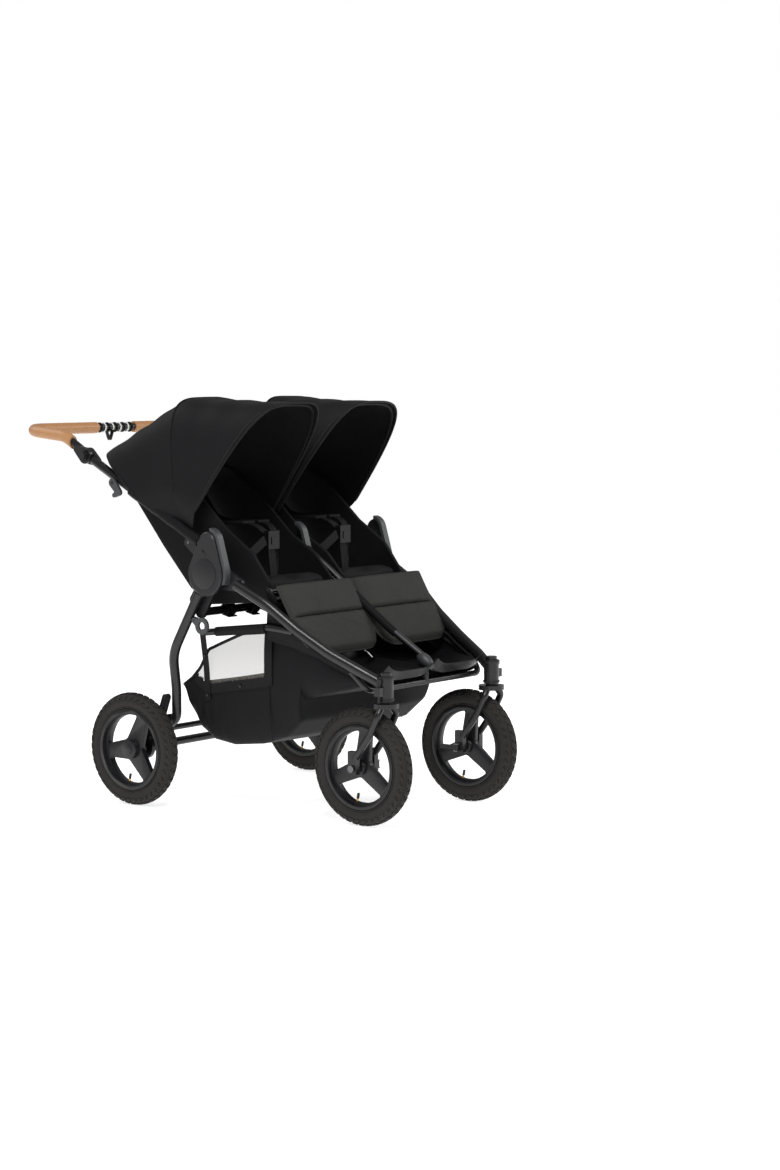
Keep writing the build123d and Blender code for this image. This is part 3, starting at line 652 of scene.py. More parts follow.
def build_wheel_trim(place, side, centre, body):
    """The tyre valve, and the rear hub's cap."""
    out = SIDES[side]
    outward = Vector((0, cos(VALVE_TURN), sin(VALVE_TURN)))
    seat, shoulder, tip = (centre + outward * (RIM_LIP - drop) for drop in (0, 0.014, 0.028))
    stem = rod(f"{place}_valve_{side}", seat, centre + outward * (RIM_LIP - 0.016), 0.0028)
    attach(dress(stem, brass()), body)
    cap = rod(f"{place}_valve_cap_{side}", shoulder, tip, 0.0036)
    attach(dress(cap, black_plastic()), body)
    if place == "rear":
        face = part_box(f"rear_rim_{side}")
        edge = face[1].x if out > 0 else face[0].x
        hub = rod(f"rear_hub_cap_{side}", (edge - out * 0.002, centre.y, centre.z),
                  (edge + out * 0.0025, centre.y, centre.z), 0.012, 0.002, 40)
        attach(dress(hub, black_plastic()), body)


# ---------------------------------------------------------------- canopies
CANOPY_REAR = radians(39)
CANOPY_MID = radians(84)
CANOPY_FRONT = radians(127)
REAR_TUCK = 0.1


def canopy_radius(angle):
    """Distance of the ridge from the pivot at an angle round it."""
    size = sizes()
    if angle >= CANOPY_MID:
        share = (angle - CANOPY_MID) / (CANOPY_FRONT - CANOPY_MID)
        sag = 0.003 * sin(pi * share)
        return (size.canopy_top + share * (size.canopy_front - size.canopy_top)) / sin(angle) - sag
    middle = (CANOPY_REAR + CANOPY_MID) / 2
    nearest = size.canopy_top * cos(CANOPY_MID - middle)
    return nearest / cos(angle - middle)


def canopy_place(u, v):
    """A point of the left canopy: u runs from its outer lower edge over the ridge, v from rear to front."""
    size = sizes()
    tuck = max(0.0, (REAR_TUCK - v) / REAR_TUCK)
    angle = CANOPY_REAR + max(0.0, v - REAR_TUCK) / (1 - REAR_TUCK) * (CANOPY_FRONT - CANOPY_REAR)
    top = canopy_radius(angle) * (1 - 0.20 * tuck ** 1.5 * min(1.0, u / 0.5))
    turn = u * pi
    square = 0.22 + 0.32 * v if u < 0.5 else 0.60
    rise = max(0.0, sin(turn)) ** square
    swing = abs(cos(turn)) ** square * (1 if u < 0.5 else -1)
    radius = 0.012 + (top - 0.012) * rise
    middle = (size.canopy_outer + size.canopy_inner) / 2
    half = (size.canopy_outer - size.canopy_inner) / 2
    bulge = 0.0
    if u < 0.5:
        reach = min(1.0, max(0.0, (radius - 0.02) / 0.08))
        bulge = size.canopy_bulge * reach * reach * (3 - 2 * reach) * abs(swing)
    ripple = 0.0016 * sin(angle * 23 + u * 9) * sin(turn)
    x = middle + half * swing + bulge
    reach = radius + ripple
    return Vector((x, CANOPY.y + reach * cos(angle), CANOPY.z + reach * sin(angle)))


def canopy_edge(v, first=0.02, last=0.98, lift=0.0):
    """Points over the canopy at one v, from side to side."""
    steps = 40
    points = []
    for i in range(steps + 1):
        u = first + (last - first) * i / steps
        point = canopy_place(u, v)
        away = (point - Vector((point.x, CANOPY.y, CANOPY.z))).normalized()
        points.append(point + away * lift)
    return points


def build_canopies():
    """Each canopy's cloth with its hoop, piping and seam."""
    size = sizes()
    model = sheet("canopy", canopy_place, 64, 50)
    modify(model, "SOLIDIFY", thickness=size.cloth, offset=-1)
    smooth(model, 60)
    mid_v = REAR_TUCK + (1 - REAR_TUCK) * (CANOPY_MID - CANOPY_REAR) / (CANOPY_FRONT - CANOPY_REAR)
    trims = {
        "front_hoop": cable("front_hoop", canopy_edge(0.985, lift=-0.006), 0.0045),
        "front_piping": cable("front_piping", canopy_edge(1.0), size.piping),
        "seam": cable("seam", canopy_edge(mid_v, lift=-0.0004), 0.0016),
        "rear_piping": cable("rear_piping", canopy_edge(REAR_TUCK * 0.5), 0.002),
    }
    for side, out in SIDES.items():
        flip = out < 0
        hood = dress(copied(model, f"canopy_cloth_{side}", flip=flip), canvas())
        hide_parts(f"canopy_front_{side}", "canopy_rears", f"canopy_bow_{side}")
        pieces = [hood]
        for label, trim in trims.items():
            bead = copied(trim, f"canopy_{label}_{side}", flip=flip)
            pieces.append(dress(bead, webbing()))
        for piece in pieces:
            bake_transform(piece)
        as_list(pieces[2:])
    for piece in [model, *trims.values()]:
        bpy.data.objects.remove(piece)


# ---------------------------------------------------------------- seats
def turned(piece, angle, about):
    """Turn a mesh round the X direction at a point."""
    about = Vector(about)
    piece.data.transform(
        Matrix.Translation(about) @ Matrix.Rotation(angle, 4, "X") @ Matrix.Translation(-about))


BACK_LEAN = radians(49.5)
BACK_LENGTH = 0.405
BACK_HALF = 0.020


def build_seats():
    """The seat pads and back pads, with their stitched channels."""
    size = sizes()
    low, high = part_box("seat_bases")
    tilt = -atan2(0.022, 0.198)
    inset = size.pad_swell * 0.7
    base = pad("seat", (0.024 + inset, low.y + inset, high.z - 0.052),
               (high.x - inset, high.y - inset, high.z - 0.012), 0.016)
    turned(base, tilt, (0, high.y, high.z - 0.022))
    swell(base, size.pad_swell)
    crease(base, lambda co: max(0, 1 - abs(co.y - (low.y + high.y) / 2) / 0.007)
           * (co.z > high.z - 0.045), 0.005, (0, 0, 1))
    back = pad("back", (0.032 + inset, SEAT.y + 0.012, SEAT.z - BACK_HALF + 0.006),
               (0.266 - inset, SEAT.y + BACK_LENGTH - inset, SEAT.z + BACK_HALF - 0.006), 0.016)
    swell(back, size.pad_swell)
    crease(back, lambda co: sum(max(0, 1 - abs(co.y - SEAT.y - spot) / 0.007) for spot in (0.13, 0.26))
           * (co.z > SEAT.z), 0.006, (0, 0, 1))
    turned(back, BACK_LEAN, SEAT)
    for side, out in SIDES.items():
        flip = out < 0
        cushion = dress(copied(base, f"seat_pad_{side}", flip=flip), canvas())
        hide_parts("seat_bases")
        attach(cushion, "frame")
        rest = dress(copied(back, f"back_pad_{side}", flip=flip), canvas())
        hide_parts(f"seat_back_{side}")
        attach(rest, f"seat_back_{side}")
    for piece in (base, back):
        bpy.data.objects.remove(piece)


def side_wall(name, x, thickness, upper, lower):
    """A padded cloth wall at X between two side-view lines of equal length, front to rear."""
    def place(u, v):
        top, foot = along_line(upper, v), along_line(lower, v)
        bow = 0.006 * sin(pi * u) * sin(pi * v)
        return Vector((x + bow, top[0] + (foot[0] - top[0]) * u, top[1] + (foot[1] - top[1]) * u))

    wall = sheet(name, place, 16, 40)
    modify(wall, "SOLIDIFY", thickness=thickness, offset=0)
    modify(wall, "BEVEL", width=thickness * 0.3, segments=2, limit_method="ANGLE")
    smooth(wall, 60)
    return wall


def build_seat_walls():
    """Cloth walls that close each seat's sides from the pad up to the canopy."""
    inner_top = [(-0.245, 0.612), (-0.190, 0.672), (-0.110, 0.720),
                 (0.000, 0.820), (0.110, 0.895), (0.205, 0.925)]
    outer_top = [(-0.245, 0.612), (-0.190, 0.685), (-0.100, 0.745),
                 (0.000, 0.835), (0.110, 0.900), (0.205, 0.925)]
    foot = [(-0.245, 0.566), (-0.180, 0.556), (-0.040, 0.545),
            (0.030, 0.585), (0.125, 0.690), (0.240, 0.830)]
    walls = (("inner", 0.0255, 0.008, inner_top), ("outer", 0.2755, 0.009, outer_top))
    for side, out in SIDES.items():
        for label, x, thickness, top in walls:
            wall = side_wall(f"seat_wall_{label}_{side}", out * x, thickness, top, foot)
            dress(wall, canvas())
            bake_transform(wall)


LEG_REST_LEAN = radians(62)
LEG_REST_SPAN = (0.003, 0.298)
LEG_REST_LENGTH = 0.205
LEG_REST_CORNER = 0.062
LEG_REST_LIFT = 0.028
LEG_REST_SEAM = 0.45


def build_leg_rests():
    """Quilted calf pads with a rounded, bound lower edge and one stitched cross seam."""
    angle = LEG_REST_LEAN
    down = Vector((0, -cos(angle), -sin(angle)))
    face = Vector((0, -sin(angle), cos(angle)))
    corner, long = LEG_REST_CORNER, LEG_REST_LENGTH
    middle, half = sum(LEG_REST_SPAN) / 2, (LEG_REST_SPAN[1] - LEG_REST_SPAN[0]) / 2

    def half_width(v):
        below = max(0.0, v * long - (long - corner)) / corner
        return half - corner + corner * (max(0.0, 1 - below * below)) ** 0.5

    def place(u, v, lift):
        across = (2 * u - 1) * half_width(min(v, 0.995))
        rise = lift + 0.016 * v * v
        return LEG_REST + Vector((middle + across - LEG_REST.x, 0, 0)) + down * (v * long) + face * rise

    def quilt(u, v, side):
        edge = max(0.0, 1 - abs(2 * u - 1) ** 6) ** 0.5 * min(1, (1 - v) / 0.08, (v + 0.03) / 0.06)
        seam = 1 - 0.85 * max(0, 1 - abs(v - LEG_REST_SEAM) / 0.035) ** 1.3
        fold = abs(sin(u * 15 + v * 8 + 1.4 * sin(v * 9))) ** 0.7
        pull = 0.0052 * (fold - 0.6) * max(0, 1 - abs(v - 0.58) / 0.36)
        return LEG_REST_LIFT + side * (0.002 + 0.015 * edge * seam + pull * edge)

    shells = []
    for sign in (1, -1):
        shells.append(sheet(f"calf{sign}", lambda u, v, s=sign: place(u, v, quilt(u, v, s)), 48, 40))
    pick(shells[0])
    shells[1].select_set(True)
    bpy.ops.object.join()
    calf = bpy.context.active_object
    bpy.ops.object.mode_set(mode="EDIT")
    bpy.ops.mesh.select_all(action="DESELECT")
    bpy.ops.mesh.select_non_manifold()
    bpy.ops.mesh.bridge_edge_loops()
    bpy.ops.mesh.select_all(action="SELECT")
    bpy.ops.mesh.normals_make_consistent(inside=False)
    bpy.ops.object.mode_set(mode="OBJECT")
    smooth(calf, 60)
    rim = [place(0, v / 20, LEG_REST_LIFT) for v in range(0, 20)]
    rim += [place(u / 8, 0.995, LEG_REST_LIFT) for u in range(0, 9)]
    rim += [place(1, v / 20, LEG_REST_LIFT) for v in range(19, -1, -1)]
    binding = cable("binding", rim, 0.0034)
    for side, out in SIDES.items():
        flip = out < 0
        cushion = dress(copied(calf, f"leg_rest_pad_{side}", flip=flip), charcoal())
        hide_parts(f"leg_rest_{side}")
        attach(cushion, f"leg_rest_{side}")
        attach(dress(copied(binding, f"leg_rest_binding_{side}", flip=flip), charcoal()),
                f"leg_rest_{side}")
    for piece in (calf, binding):
        bpy.data.objects.remove(piece)


WELL_INNER = 0.003


def build_foot_wells():
    """Cloths that hang from the seat's front edge to the front cross tube."""
    size = sizes()
    low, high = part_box("footwells")
    line = [(high.y, high.z), (high.y - 0.08, 0.402), (high.y - 0.106, 0.380),
            (low.y + 0.020, 0.368), (low.y, 0.392)]

    def place(u, v):
        y, z = along_line(line, v)
        narrow = max(0.0, min(1.0, (high.y - 0.14 - y) / 0.2))
        outer = 0.272 - 0.076 * narrow
        edge = abs(2 * u - 1) ** 5
        return Vector((WELL_INNER + (outer - WELL_INNER) * u, y, z + 0.020 * edge * min(1.0, v * 3)))

    model = sheet("well", place, 24, 40)
    modify(model, "SOLIDIFY", thickness=size.cloth, offset=-1)
    smooth(model, 60)
    for side, out in SIDES.items():
        well = dress(copied(model, f"foot_well_cloth_{side}", flip=out < 0), slick_cloth())
        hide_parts("footwells")
        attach(well, "frame")
    bpy.data.objects.remove(model)


# ---------------------------------------------------------------- basket
FLOOR_LINE = [(0.0575, 0.325), (0.0415, 0.262), (0.0095, 0.206), (-0.0305, 0.180),
              (-0.1005, 0.171), (-0.1985, 0.182), (-0.2765, 0.206), (-0.3355, 0.256),
              (-0.3445, 0.312), (-0.4305, 0.332), (-0.5165, 0.350)]
TOP_LINE = [(0.0575, 0.327), (0.03, 0.345), (0.0, 0.375), (-0.0300, 0.425),
            (-0.0750, 0.444), (-0.15, 0.474), (-0.27, 0.486), (-0.3605, 0.462),
            (-0.3805, 0.452), (-0.4305, 0.424), (-0.5165, 0.380)]
BASKET_WALL = 0.30
WINDOW_STRAP = -0.035
WINDOW_FRONT = -0.245


def basket_place(u, v):
    """A point of the basket: u runs over one wall, the floor and the other wall, v from rear to front."""
    floor, top = along_line(FLOOR_LINE, v), along_line(TOP_LINE, v)
    nose = max(0.0, min(1.0, (-0.39 - floor[0]) / 0.13))
    half = 0.278 - 0.034 * nose
    wall = BASKET_WALL
    if u < wall or u > 1 - wall:
        share = u / wall if u < wall else (1 - u) / wall
        sign = -1 if u < wall else 1
        y = top[0] + (floor[0] - top[0]) * share
        z = top[1] + (floor[1] + 0.004 - top[1]) * share
        pleat = 0.0022 * sin(y * 210) * max(0.0, share - 0.5) * (1 - share) * 12
        swell_out = 0.008 * sin(pi * share) - 0.020 * share ** 8 + pleat
        return Vector((sign * (half + swell_out), y, z))
    share = (u - wall) / (1 - 2 * wall)
    sag = 0.005 * sin(pi * share)
    return Vector(((2 * share - 1) * (half - 0.020), floor[0], floor[1] + 0.004 - sag))


def window_foot(y):
    """Height of the net window's lower edge: it rises towards the front, and behind the strap."""
    return 0.3315 + 0.16 * max(0.0, WINDOW_STRAP - y) + 0.55 * max(0.0, y - WINDOW_STRAP)


def in_window(co):
    """Whether a point of the basket belongs to a net window."""
    return abs(co.x) > 0.262 and WINDOW_FRONT < co.y < 0.04 and co.z > window_foot(co.y)


def build_basket():
    """The basket's cloth with its net windows, trim and aprons."""
    size = sizes()
    shell = sheet("basket_cloth", basket_place, 96, 60)
    pick(shell)
    bpy.ops.object.mode_set(mode="EDIT")
    mesh = bmesh.from_edit_mesh(shell.data)
    for face in mesh.faces:
        face.select = in_window(face.calc_center_median())
    bmesh.update_edit_mesh(shell.data)
    bpy.ops.mesh.separate(type="SELECTED")
    bpy.ops.object.mode_set(mode="OBJECT")
    window = next(o for o in bpy.context.selected_objects if o != shell)
    window.name = window.data.name = "basket_net"
    for piece, thickness in ((shell, size.cloth), (window, 0.0008)):
        modify(piece, "SOLIDIFY", thickness=thickness, offset=-1)
        smooth(piece, 60)
    dress(shell, canvas())
    dress(window, mesh_cloth())
    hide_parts("basket")
    trims = []
    for side, u in (("right", 0.0), ("left", 1.0)):
        edge = [basket_place(u, v / 40) for v in range(41)]
        trims.append(dress(cable(f"basket_edge_{side}", edge, 0.0042), webbing()))
        trims += basket_trim(side)
    for piece in (shell, window, *trims):
        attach(piece, "frame")
    for side, out in SIDES.items():
        build_apron(side, out)


def basket_trim(side):
    """Hem, strap, snaps and seams on one side wall of the basket."""
    out = SIDES[side]
    face = 0.2882
    hem = [(out * face, y, window_foot(y) - 0.010)
           for y in (0.010, -0.012, -0.035, -0.10, -0.17, -0.246)]
    strap = [(out * x, y, z) for x, y, z in (
        (0.3195, -0.047, 0.470), (0.307, -0.041, 0.43), (0.2945, -0.036, 0.38),
        (0.2905, -0.035, 0.33), (0.2900, -0.035, 0.292))]
    seam = [(out * x, WINDOW_FRONT - 0.002, z)
            for x, z in ((0.2870, 0.34), (0.2868, 0.29), (0.284, 0.24), (0.274, 0.20))]
    post = [(out * x, WINDOW_FRONT, z)
            for x, z in ((0.2835, 0.484), (0.2872, 0.44), (0.2880, 0.39), (0.2882, 0.345))]
    pieces = [ribbon(f"pocket_hem_{side}", hem, (0, 0, 1), 0.026, 0.0016),
              ribbon(f"basket_strap_{side}", strap, (0, 1, 0), 0.019, 0.002),
              ribbon(f"window_front_binding_{side}", post, (0, 1, 0), 0.026, 0.0016),
              cable(f"basket_seam_{side}", seam, 0.0016)]
    for piece in pieces:
        dress(piece, webbing())
    for label, x, y, z in (("upper", 0.3035, -0.0385, 0.412), ("lower", 0.2915, -0.035, 0.306),
                           ("front", 0.2895, -0.150, 0.338)):
        snap = rod(f"basket_snap_{label}_{side}", (out * (x - 0.003), y, z),
                   (out * (x + 0.002), y, z), 0.0052, 0.0012)
        pieces.append(dress(snap, gloss_plastic()))
    return pieces


def build_apron(side, out):
    """The panel between the side tube and the front of the basket, and the sleeve on the rail."""
    upper = [(0.318, -0.272, 0.547), (0.298, -0.3505, 0.486),
             (0.276, -0.4405, 0.429), (0.250, -0.518, 0.388)]
    lower = [(0.2835, -0.243, 0.462), (0.2835, -0.3305, 0.448),
             (0.272, -0.42, 0.414), (0.246, -0.512, 0.370)]

    def place(u, v):
        i, t = step_on(upper, v)
        top = Vector(upper[i]).lerp(Vector(upper[i + 1]), t)
        foot = Vector(lower[i]).lerp(Vector(lower[i + 1]), t)
        point = top.lerp(foot, u) + Vector((0.004 * sin(pi * u), 0, 0))
        return Vector((out * point.x, point.y, point.z))

    apron = sheet(f"basket_apron_{side}", place, 12, 36)
    modify(apron, "SOLIDIFY", thickness=sizes().cloth, offset=0)
    smooth(apron, 60)
    dress(apron, canvas())
    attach(apron, "frame")
    rail = [Vector((out * 0.316, -0.094 - 0.017 * i, 0.4795 + 0.00185 * i)) for i in range(11)]
    sleeve = cable(f"rail_sleeve_{side}", rail, 0.0128)
    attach(dress(sleeve, canvas()), "frame")


# ---------------------------------------------------------------- harness
STRAP_THICK = 0.0016


def build_harness():
    """Shoulder straps with their pads, and waist straps, down to each buckle."""
    size = sizes()
    low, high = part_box("buckles")
    along = Vector((0, cos(BACK_LEAN), sin(BACK_LEAN)))
    normal = Vector((0, -sin(BACK_LEAN), cos(BACK_LEAN)))
    for side, out in SIDES.items():
        seat_x = out * 0.150
        clasp = Vector((seat_x, (low.y + high.y) / 2 - 0.002, high.z - 0.010))
        for lean in (-1, 1):
            def on_back(s, lift):
                return SEAT + along * s + normal * lift + Vector((seat_x - SEAT.x + lean * 0.045, 0, 0))
            path = [on_back(0.345, 0.0290), on_back(0.30, 0.036), on_back(0.22, 0.046),
                    clasp + Vector((lean * 0.030, 0.055, 0.030)),
                    clasp + Vector((lean * 0.017, 0.006, 0.004))]
            label = f"{side}_{'inner' if lean * out < 0 else 'outer'}"
            strap = ribbon(f"shoulder_strap_{label}", path, (1, 0, 0), size.webbing, STRAP_THICK)
            dress(strap, webbing())
            raised = [point + normal * 0.003 for point in path[:4]]
            cover = ribbon(f"shoulder_pad_{label}", raised, (1, 0, 0), 0.046, 0.009)
            modify(cover, "BEVEL", width=0.003, segments=2, limit_method="ANGLE")
            dress(cover, canvas())
            waist = [Vector((seat_x + lean * 0.10, SEAT.y - 0.03, 0.600)),
                     Vector((seat_x + lean * 0.085, SEAT.y - 0.07, 0.640)),
                     clasp + Vector((lean * 0.020, 0.004, -0.012))]
            belt = ribbon(f"waist_strap_{label}", waist, (0, 0.4, 0.9), size.webbing, STRAP_THICK)
            dress(belt, webbing())
            for piece in (strap, cover):
                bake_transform(piece)
            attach(belt, "frame")


# ---------------------------------------------------------------- handle
def build_handle():
    """The grips' stitching, and the wrist strap's wraps and hanging loop."""
    bar_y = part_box("handle_grips")[1].y - 0.016
    bar_z = HANDLE.z + 0.070
    stitches = []
    for count, first, step, long in ((46, -0.205, 0.0042, 0.003), (34, 0.150, 0.0020, 0.0015)):
        for i in range(count):
            clear()
            bpy.ops.mesh.primitive_cylinder_add(
                vertices=6, radius=0.0006, depth=long,
                location=(first + i * step, bar_y, bar_z - 0.0162), rotation=(0, pi / 2, 0.5))
            stitches.append(fresh("stitch"))
    clear()
    for piece in stitches:
        piece.select_set(True)
    bpy.context.view_layer.objects.active = stitches[0]
    bpy.ops.object.join()
    seam = bpy.context.active_object
    seam.name = seam.data.name = "grip_stitching"
    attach(dress(seam, thread()), "handlebar")
    turn = [radians(a) for a in range(0, 360, 30)]
    for i in range(9):
        x = 0.004 + i * 0.0155
        points = [Vector((x, bar_y + 0.0128 * cos(a), bar_z + 0.0128 * sin(a))) for a in turn]
        band = cable(f"wrist_strap_wrap_{i}", points, 0.0022 if i % 2 else 0.0026, closed=True)
        finish = white_webbing if i % 2 else webbing
        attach(dress(band, finish()), "handlebar")
    drop = (0.008, 0.018, 0.030, 0.036, 0.030, 0.018, 0.008)
    loop = [(0.020 + 0.0045 * i, bar_y - 0.012, bar_z - fall) for i, fall in enumerate(drop)]
    strap = ribbon("wrist_strap_loop", loop, (0, 1, 0), 0.012, 0.0018)
    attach(dress(strap, webbing()), "handlebar")


# ---------------------------------------------------------------- small trim
def build_nose_cap():
    """The rounded cap on the centre tube's foot, and the stem that clamps it to the cross tube."""
    low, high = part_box("centre_cap")
    nose = Vector((0, (low.y + high.y) / 2, high.z - 0.020))
    clear()
    bpy.ops.mesh.primitive_uv_sphere_add(
        segments=40, ring_count=24, radius=1, scale=(0.0155, 0.0290, 0.0165),
        location=nose, rotation=(radians(31), 0, 0))
    cap = fresh("nose_cap")
    for vertex in cap.data.vertices:
        vertex.co.z -= 0.004 * max(0.0, (nose.y - vertex.co.y) / 0.03)
    smooth(cap, 80)
    dress(cap, grey_plastic())
    stem = rod("nose_cap_stem", nose, (0, nose.y, low.z + 0.006), 0.0085, 0.002)
    dress(stem, black_plastic())
    for piece in (cap, stem):
        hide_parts("centre_cap")
        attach(piece, "frame")
    cover = [(0, -0.262, 0.5945), (0, -0.30, 0.5667), (0, -0.35, 0.5304),
             (0, -0.4055, 0.4900), (0, -0.437, 0.4694)]
    sleeve = cable("centre_tube_sleeve", cover, 0.0112)
    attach(dress(sleeve, canvas()), "frame")


COLLAR_R = 0.0222


def build_trim():
    """Head collars, hub bosses and slots, suspension ribs, beam straps and tube sleeves."""
    build_nose_cap()
    for side, out in SIDES.items():
        fork = pivot(f"swivel_{side}")
        for name, z, thick in (("lower", 0.330, 0.006), ("upper", 0.383, 0.007)):
            collar = rod(f"head_collar_{name}_{side}", (fork.x, fork.y, z - thick / 2),
                         (fork.x, fork.y, z + thick / 2), COLLAR_R, 0.0012, 40)
            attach(dress(collar, black_plastic()), "frame")
        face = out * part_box("hub_covers")[1].x
        boss = rod(f"hub_boss_{side}", (face - out * 0.002, HUB.y, HUB.z),
                   (face + out * 0.0018, HUB.y, HUB.z), 0.040, 0.0014, 56)
        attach(dress(boss, black_plastic()), "frame")
        slit = rod(f"hub_slot_{side}", (face + out * 0.0010, HUB.y - 0.006, HUB.z + 0.050),
                   (face + out * 0.0010, HUB.y + 0.006, HUB.z + 0.062), 0.0014, 0.0003, 10)
        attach(dress(slit, gloss_plastic()), "frame")
        build_suspension(side, out)
        build_strut_straps(side, out)
        build_sleeve(side, out)


def build_suspension(side, out):
    """The rubber bellows of one suspension unit."""
    low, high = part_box("suspension_blocks")
    centre_x = out * (high.x - 0.012)
    middle_y = (low.y + high.y) / 2
    ribs = 6
    for i in range(ribs):
        z = low.z + (i + 0.5) * (high.z - low.z) / ribs
        rib = rod(f"suspension_rib_{side}_{i}", (centre_x, middle_y, z - 0.0030),
                  (centre_x, middle_y, z + 0.0030), 0.0118 - 0.0012 * (i % 2), 0.0014, 28)
        dress(rib, tyre_rubber())
        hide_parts("suspension_blocks")
        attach(rib, "rear_axle")


SEAT_BEAM = (-0.0455, 0.528)
BEAM_R = 0.011


def build_strut_straps(side, out):
    """Webbing wrapped round the beam under the seat, with its tail and keeper."""
    for i, (x, radius) in enumerate(((0.215, 0.0035), (0.120, 0.0055), (0.060, 0.0035))):
        reach = BEAM_R + radius
        ring = [(out * x, SEAT_BEAM[0] + reach * cos(radians(a)), SEAT_BEAM[1] + reach * sin(radians(a)))
                for a in range(-90, 271, 30)]
        root = Vector((out * x, SEAT_BEAM[0], SEAT_BEAM[1] - reach))
        tip = Vector((out * x, SEAT_BEAM[0] - 0.016, SEAT_BEAM[1] - reach - 0.004))
        for label, path in (("wrap", ring), ("tail", [root, root.lerp(tip, 0.5), tip])):
            strap = ribbon(f"beam_{label}_{side}_{i}", path, (1, 0, 0), 0.034 - 0.006 * i, 0.0026)
            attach(dress(strap, webbing()), "frame")


def build_sleeve(side, out):
    """The cloth sleeve that covers the lower half of the push tube."""
    start = Vector((out * 0.308, HUB.y + 0.060, HUB.z + 0.080))
    end = Vector((out * 0.308, HANDLE.y - 0.165, HANDLE.z - 0.092))
    points = [start + (end - start) * i / 12 + Vector((0, 0, 0.0012 * sin(i * 2.1))) for i in range(13)]
    sleeve = cable(f"push_tube_sleeve_{side}", points, 0.0148)
    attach(dress(sleeve, canvas()), "push_frame")


# ---------------------------------------------------------------- stage
def lamp(name, place, power, size_m):
    """A square soft lamp that points at the middle of the stroller."""
    light = bpy.data.lights.new(name, "AREA")
    light.energy = power
    light.size = size_m
    lamp_object = bpy.data.objects.new(name, light)
    lamp_object.location = place
    lamp_object.rotation_euler = (Vector(LAMP_AIM) - Vector(place)).to_track_quat("-Z", "Y").to_euler()
    bpy.context.scene.collection.objects.link(lamp_object)


def light_world(tree):
    """A soft dim room that looks white where nothing stands in front of it."""
    room = tree.nodes["Background"]
    room.inputs["Color"].default_value = (1, 1, 1, 1)
    room.inputs["Strength"].default_value = 0.30
    seen = tree.nodes.new("ShaderNodeBackground")
    seen.inputs["Strength"].default_value = 1.0
    seen.inputs["Color"].default_value = (1, 1, 1, 1)
    mix = tree.nodes.new("ShaderNodeMixShader")
    path = tree.nodes.new("ShaderNodeLightPath")
    tree.links.new(path.outputs["Is Camera Ray"], mix.inputs[0])
    tree.links.new(room.outputs[0], mix.inputs[1])
    tree.links.new(seen.outputs[0], mix.inputs[2])
    tree.links.new(mix.outputs[0], tree.nodes["World Output"].inputs["Surface"])


FLOOR_SIZE = 60
LAMP_AIM = (0, 0, 0.55)
CAMERA_PLACE = (-4.807, -4.1535, 1.104)
CAMERA_AIM = (-0.028, -0.0235, 0.514)
CAMERA_LENS = 71.7
CAMERA_SHIFT = (0.104, 0.020)
CAMERA_ROLL = radians(-0.6)


def build_stage():
    """The floor, the room, three lamps and the camera."""
    clear()
    bpy.ops.mesh.primitive_plane_add(size=FLOOR_SIZE, location=(0, 0, 0))
    floor = fresh("studio_floor")
    material = bpy.data.materials.new("Studio floor")
    material.use_nodes = True
    principled = material.node_tree.nodes["Principled BSDF"]
    principled.inputs["Base Color"].default_value = (0.93, 0.93, 0.93, 1)
    principled.inputs["Roughness"].default_value = 0.9
    principled.inputs["Emission Color"].default_value = (1, 1, 1, 1)
    principled.inputs["Emission Strength"].default_value = 0.74
    floor.data.materials.append(material)
    world = bpy.data.worlds.new("Studio")
    world.use_nodes = True
    light_world(world.node_tree)
    bpy.context.scene.world = world
    lamp("key", (-2.4, -2.2, 4.2), 170, 1.6)
    lamp("fill", (3.4, -3.0, 2.8), 70, 2.0)
    lamp("back", (-1.0, 3.4, 3.4), 55, 2.4)
    bpy.context.scene.view_settings.view_transform = "Standard"
    camera = bpy.data.cameras.new("Camera")
    camera.lens = CAMERA_LENS
    camera.sensor_width = 36
    camera.sensor_fit = "AUTO"
    camera.shift_x, camera.shift_y = CAMERA_SHIFT
    view = bpy.data.objects.new("Camera", camera)
    view.location = CAMERA_PLACE
    aim = Vector(CAMERA_AIM) - view.location
    turn = aim.to_track_quat("-Z", "Y").to_matrix().to_4x4() @ Matrix.Rotation(CAMERA_ROLL, 4, "Z")
    view.rotation_euler = turn.to_euler()
    bpy.context.scene.collection.objects.link(view)
    bpy.context.scene.camera = view


# ---------------------------------------------------------------- operators and panel
class STROLLER_OT_stage(bpy.types.Operator):
    """Floor, lights and camera."""
    bl_idname = "stroller.stage"
    bl_label = "Stage"
    bl_options = {"REGISTER", "UNDO"}

    def execute(self, context):
        build_stage()
        return {"FINISHED"}


class STROLLER_OT_frame_finish(bpy.types.Operator):
    """Put a finish on every frame piece."""
    bl_idname = "stroller.frame_finish"
    bl_label = "Frame finishes"
    bl_options = {"REGISTER", "UNDO"}

    def execute(self, context):
        finish_nodes()
        return {"FINISHED"}


class STROLLER_OT_wheels(bpy.types.Operator):
    """Treaded tyres, moulded rims, valves and hub caps."""
    bl_idname = "stroller.wheels"
    bl_label = "Wheels"
    bl_options = {"REGISTER", "UNDO"}

    def execute(self, context):
        build_wheels()
        return {"FINISHED"}


class STROLLER_OT_canopies(bpy.types.Operator):
    """Canopy cloth with its seams and piping."""
    bl_idname = "stroller.canopies"
    bl_label = "Canopies"
    bl_options = {"REGISTER", "UNDO"}

    def execute(self, context):
        build_canopies()
        return {"FINISHED"}


class STROLLER_OT_seats(bpy.types.Operator):
    """Seat and back pads."""
    bl_idname = "stroller.seats"
    bl_label = "Seats"
    bl_options = {"REGISTER", "UNDO"}

    def execute(self, context):
        build_seats()
        return {"FINISHED"}


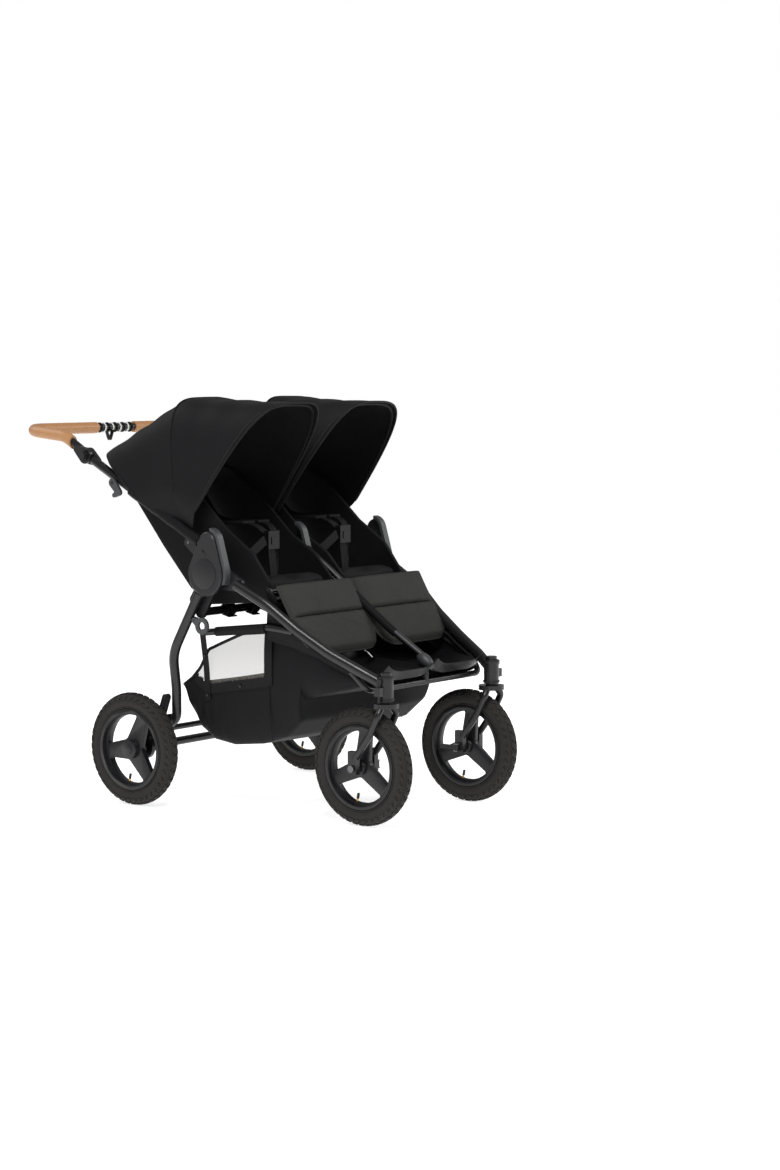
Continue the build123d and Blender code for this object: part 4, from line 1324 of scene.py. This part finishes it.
class STROLLER_OT_seat_walls(bpy.types.Operator):
    """Cloth walls at the sides of each seat."""
    bl_idname = "stroller.seat_walls"
    bl_label = "Seat walls"
    bl_options = {"REGISTER", "UNDO"}

    def execute(self, context):
        build_seat_walls()
        return {"FINISHED"}


class STROLLER_OT_leg_rests(bpy.types.Operator):
    """Quilted calf pads with a bound edge."""
    bl_idname = "stroller.leg_rests"
    bl_label = "Leg rests"
    bl_options = {"REGISTER", "UNDO"}

    def execute(self, context):
        build_leg_rests()
        return {"FINISHED"}


class STROLLER_OT_foot_wells(bpy.types.Operator):
    """Hanging foot well cloths."""
    bl_idname = "stroller.foot_wells"
    bl_label = "Foot wells"
    bl_options = {"REGISTER", "UNDO"}

    def execute(self, context):
        build_foot_wells()
        return {"FINISHED"}


class STROLLER_OT_basket(bpy.types.Operator):
    """Basket cloth, net windows, trim and aprons."""
    bl_idname = "stroller.basket"
    bl_label = "Basket"
    bl_options = {"REGISTER", "UNDO"}

    def execute(self, context):
        build_basket()
        return {"FINISHED"}


class STROLLER_OT_harness(bpy.types.Operator):
    """Shoulder and waist straps."""
    bl_idname = "stroller.harness"
    bl_label = "Harness"
    bl_options = {"REGISTER", "UNDO"}

    def execute(self, context):
        build_harness()
        return {"FINISHED"}


class STROLLER_OT_handle(bpy.types.Operator):
    """Grip stitching and wrist strap."""
    bl_idname = "stroller.handle"
    bl_label = "Handle"
    bl_options = {"REGISTER", "UNDO"}

    def execute(self, context):
        build_handle()
        return {"FINISHED"}


class STROLLER_OT_trim(bpy.types.Operator):
    """Collars, hub bosses, suspension ribs, straps and sleeves."""
    bl_idname = "stroller.trim"
    bl_label = "Trim"
    bl_options = {"REGISTER", "UNDO"}

    def execute(self, context):
        build_trim()
        return {"FINISHED"}


STEPS = [
    STROLLER_OT_stage, STROLLER_OT_frame_finish, STROLLER_OT_wheels, STROLLER_OT_canopies,
    STROLLER_OT_seats, STROLLER_OT_seat_walls, STROLLER_OT_leg_rests, STROLLER_OT_foot_wells,
    STROLLER_OT_basket, STROLLER_OT_harness, STROLLER_OT_handle, STROLLER_OT_trim,
]


class STROLLER_PT_panel(bpy.types.Panel):
    """Lists the stroller's pieces."""
    bl_label = "Stroller"
    bl_space_type = "VIEW_3D"
    bl_region_type = "UI"
    bl_category = "Stroller"

    def draw(self, context):
        for step in STEPS:
            self.layout.operator(step.bl_idname)


CLASSES = [StrollerSizes, StrollerColours, *STEPS, STROLLER_PT_panel]


def register():
    for cls in CLASSES:
        bpy.utils.register_class(cls)
    bpy.types.Scene.stroller_sizes = bpy.props.PointerProperty(type=StrollerSizes)
    bpy.types.Scene.stroller_colours = bpy.props.PointerProperty(type=StrollerColours)


def unregister():
    del bpy.types.Scene.stroller_colours
    del bpy.types.Scene.stroller_sizes
    for cls in reversed(CLASSES):
        bpy.utils.unregister_class(cls)


def main():
    register()
    for step in STEPS:
        getattr(bpy.ops.stroller, step.bl_idname.split(".")[1])()
    clear()


if __name__ == "__main__":
    main()
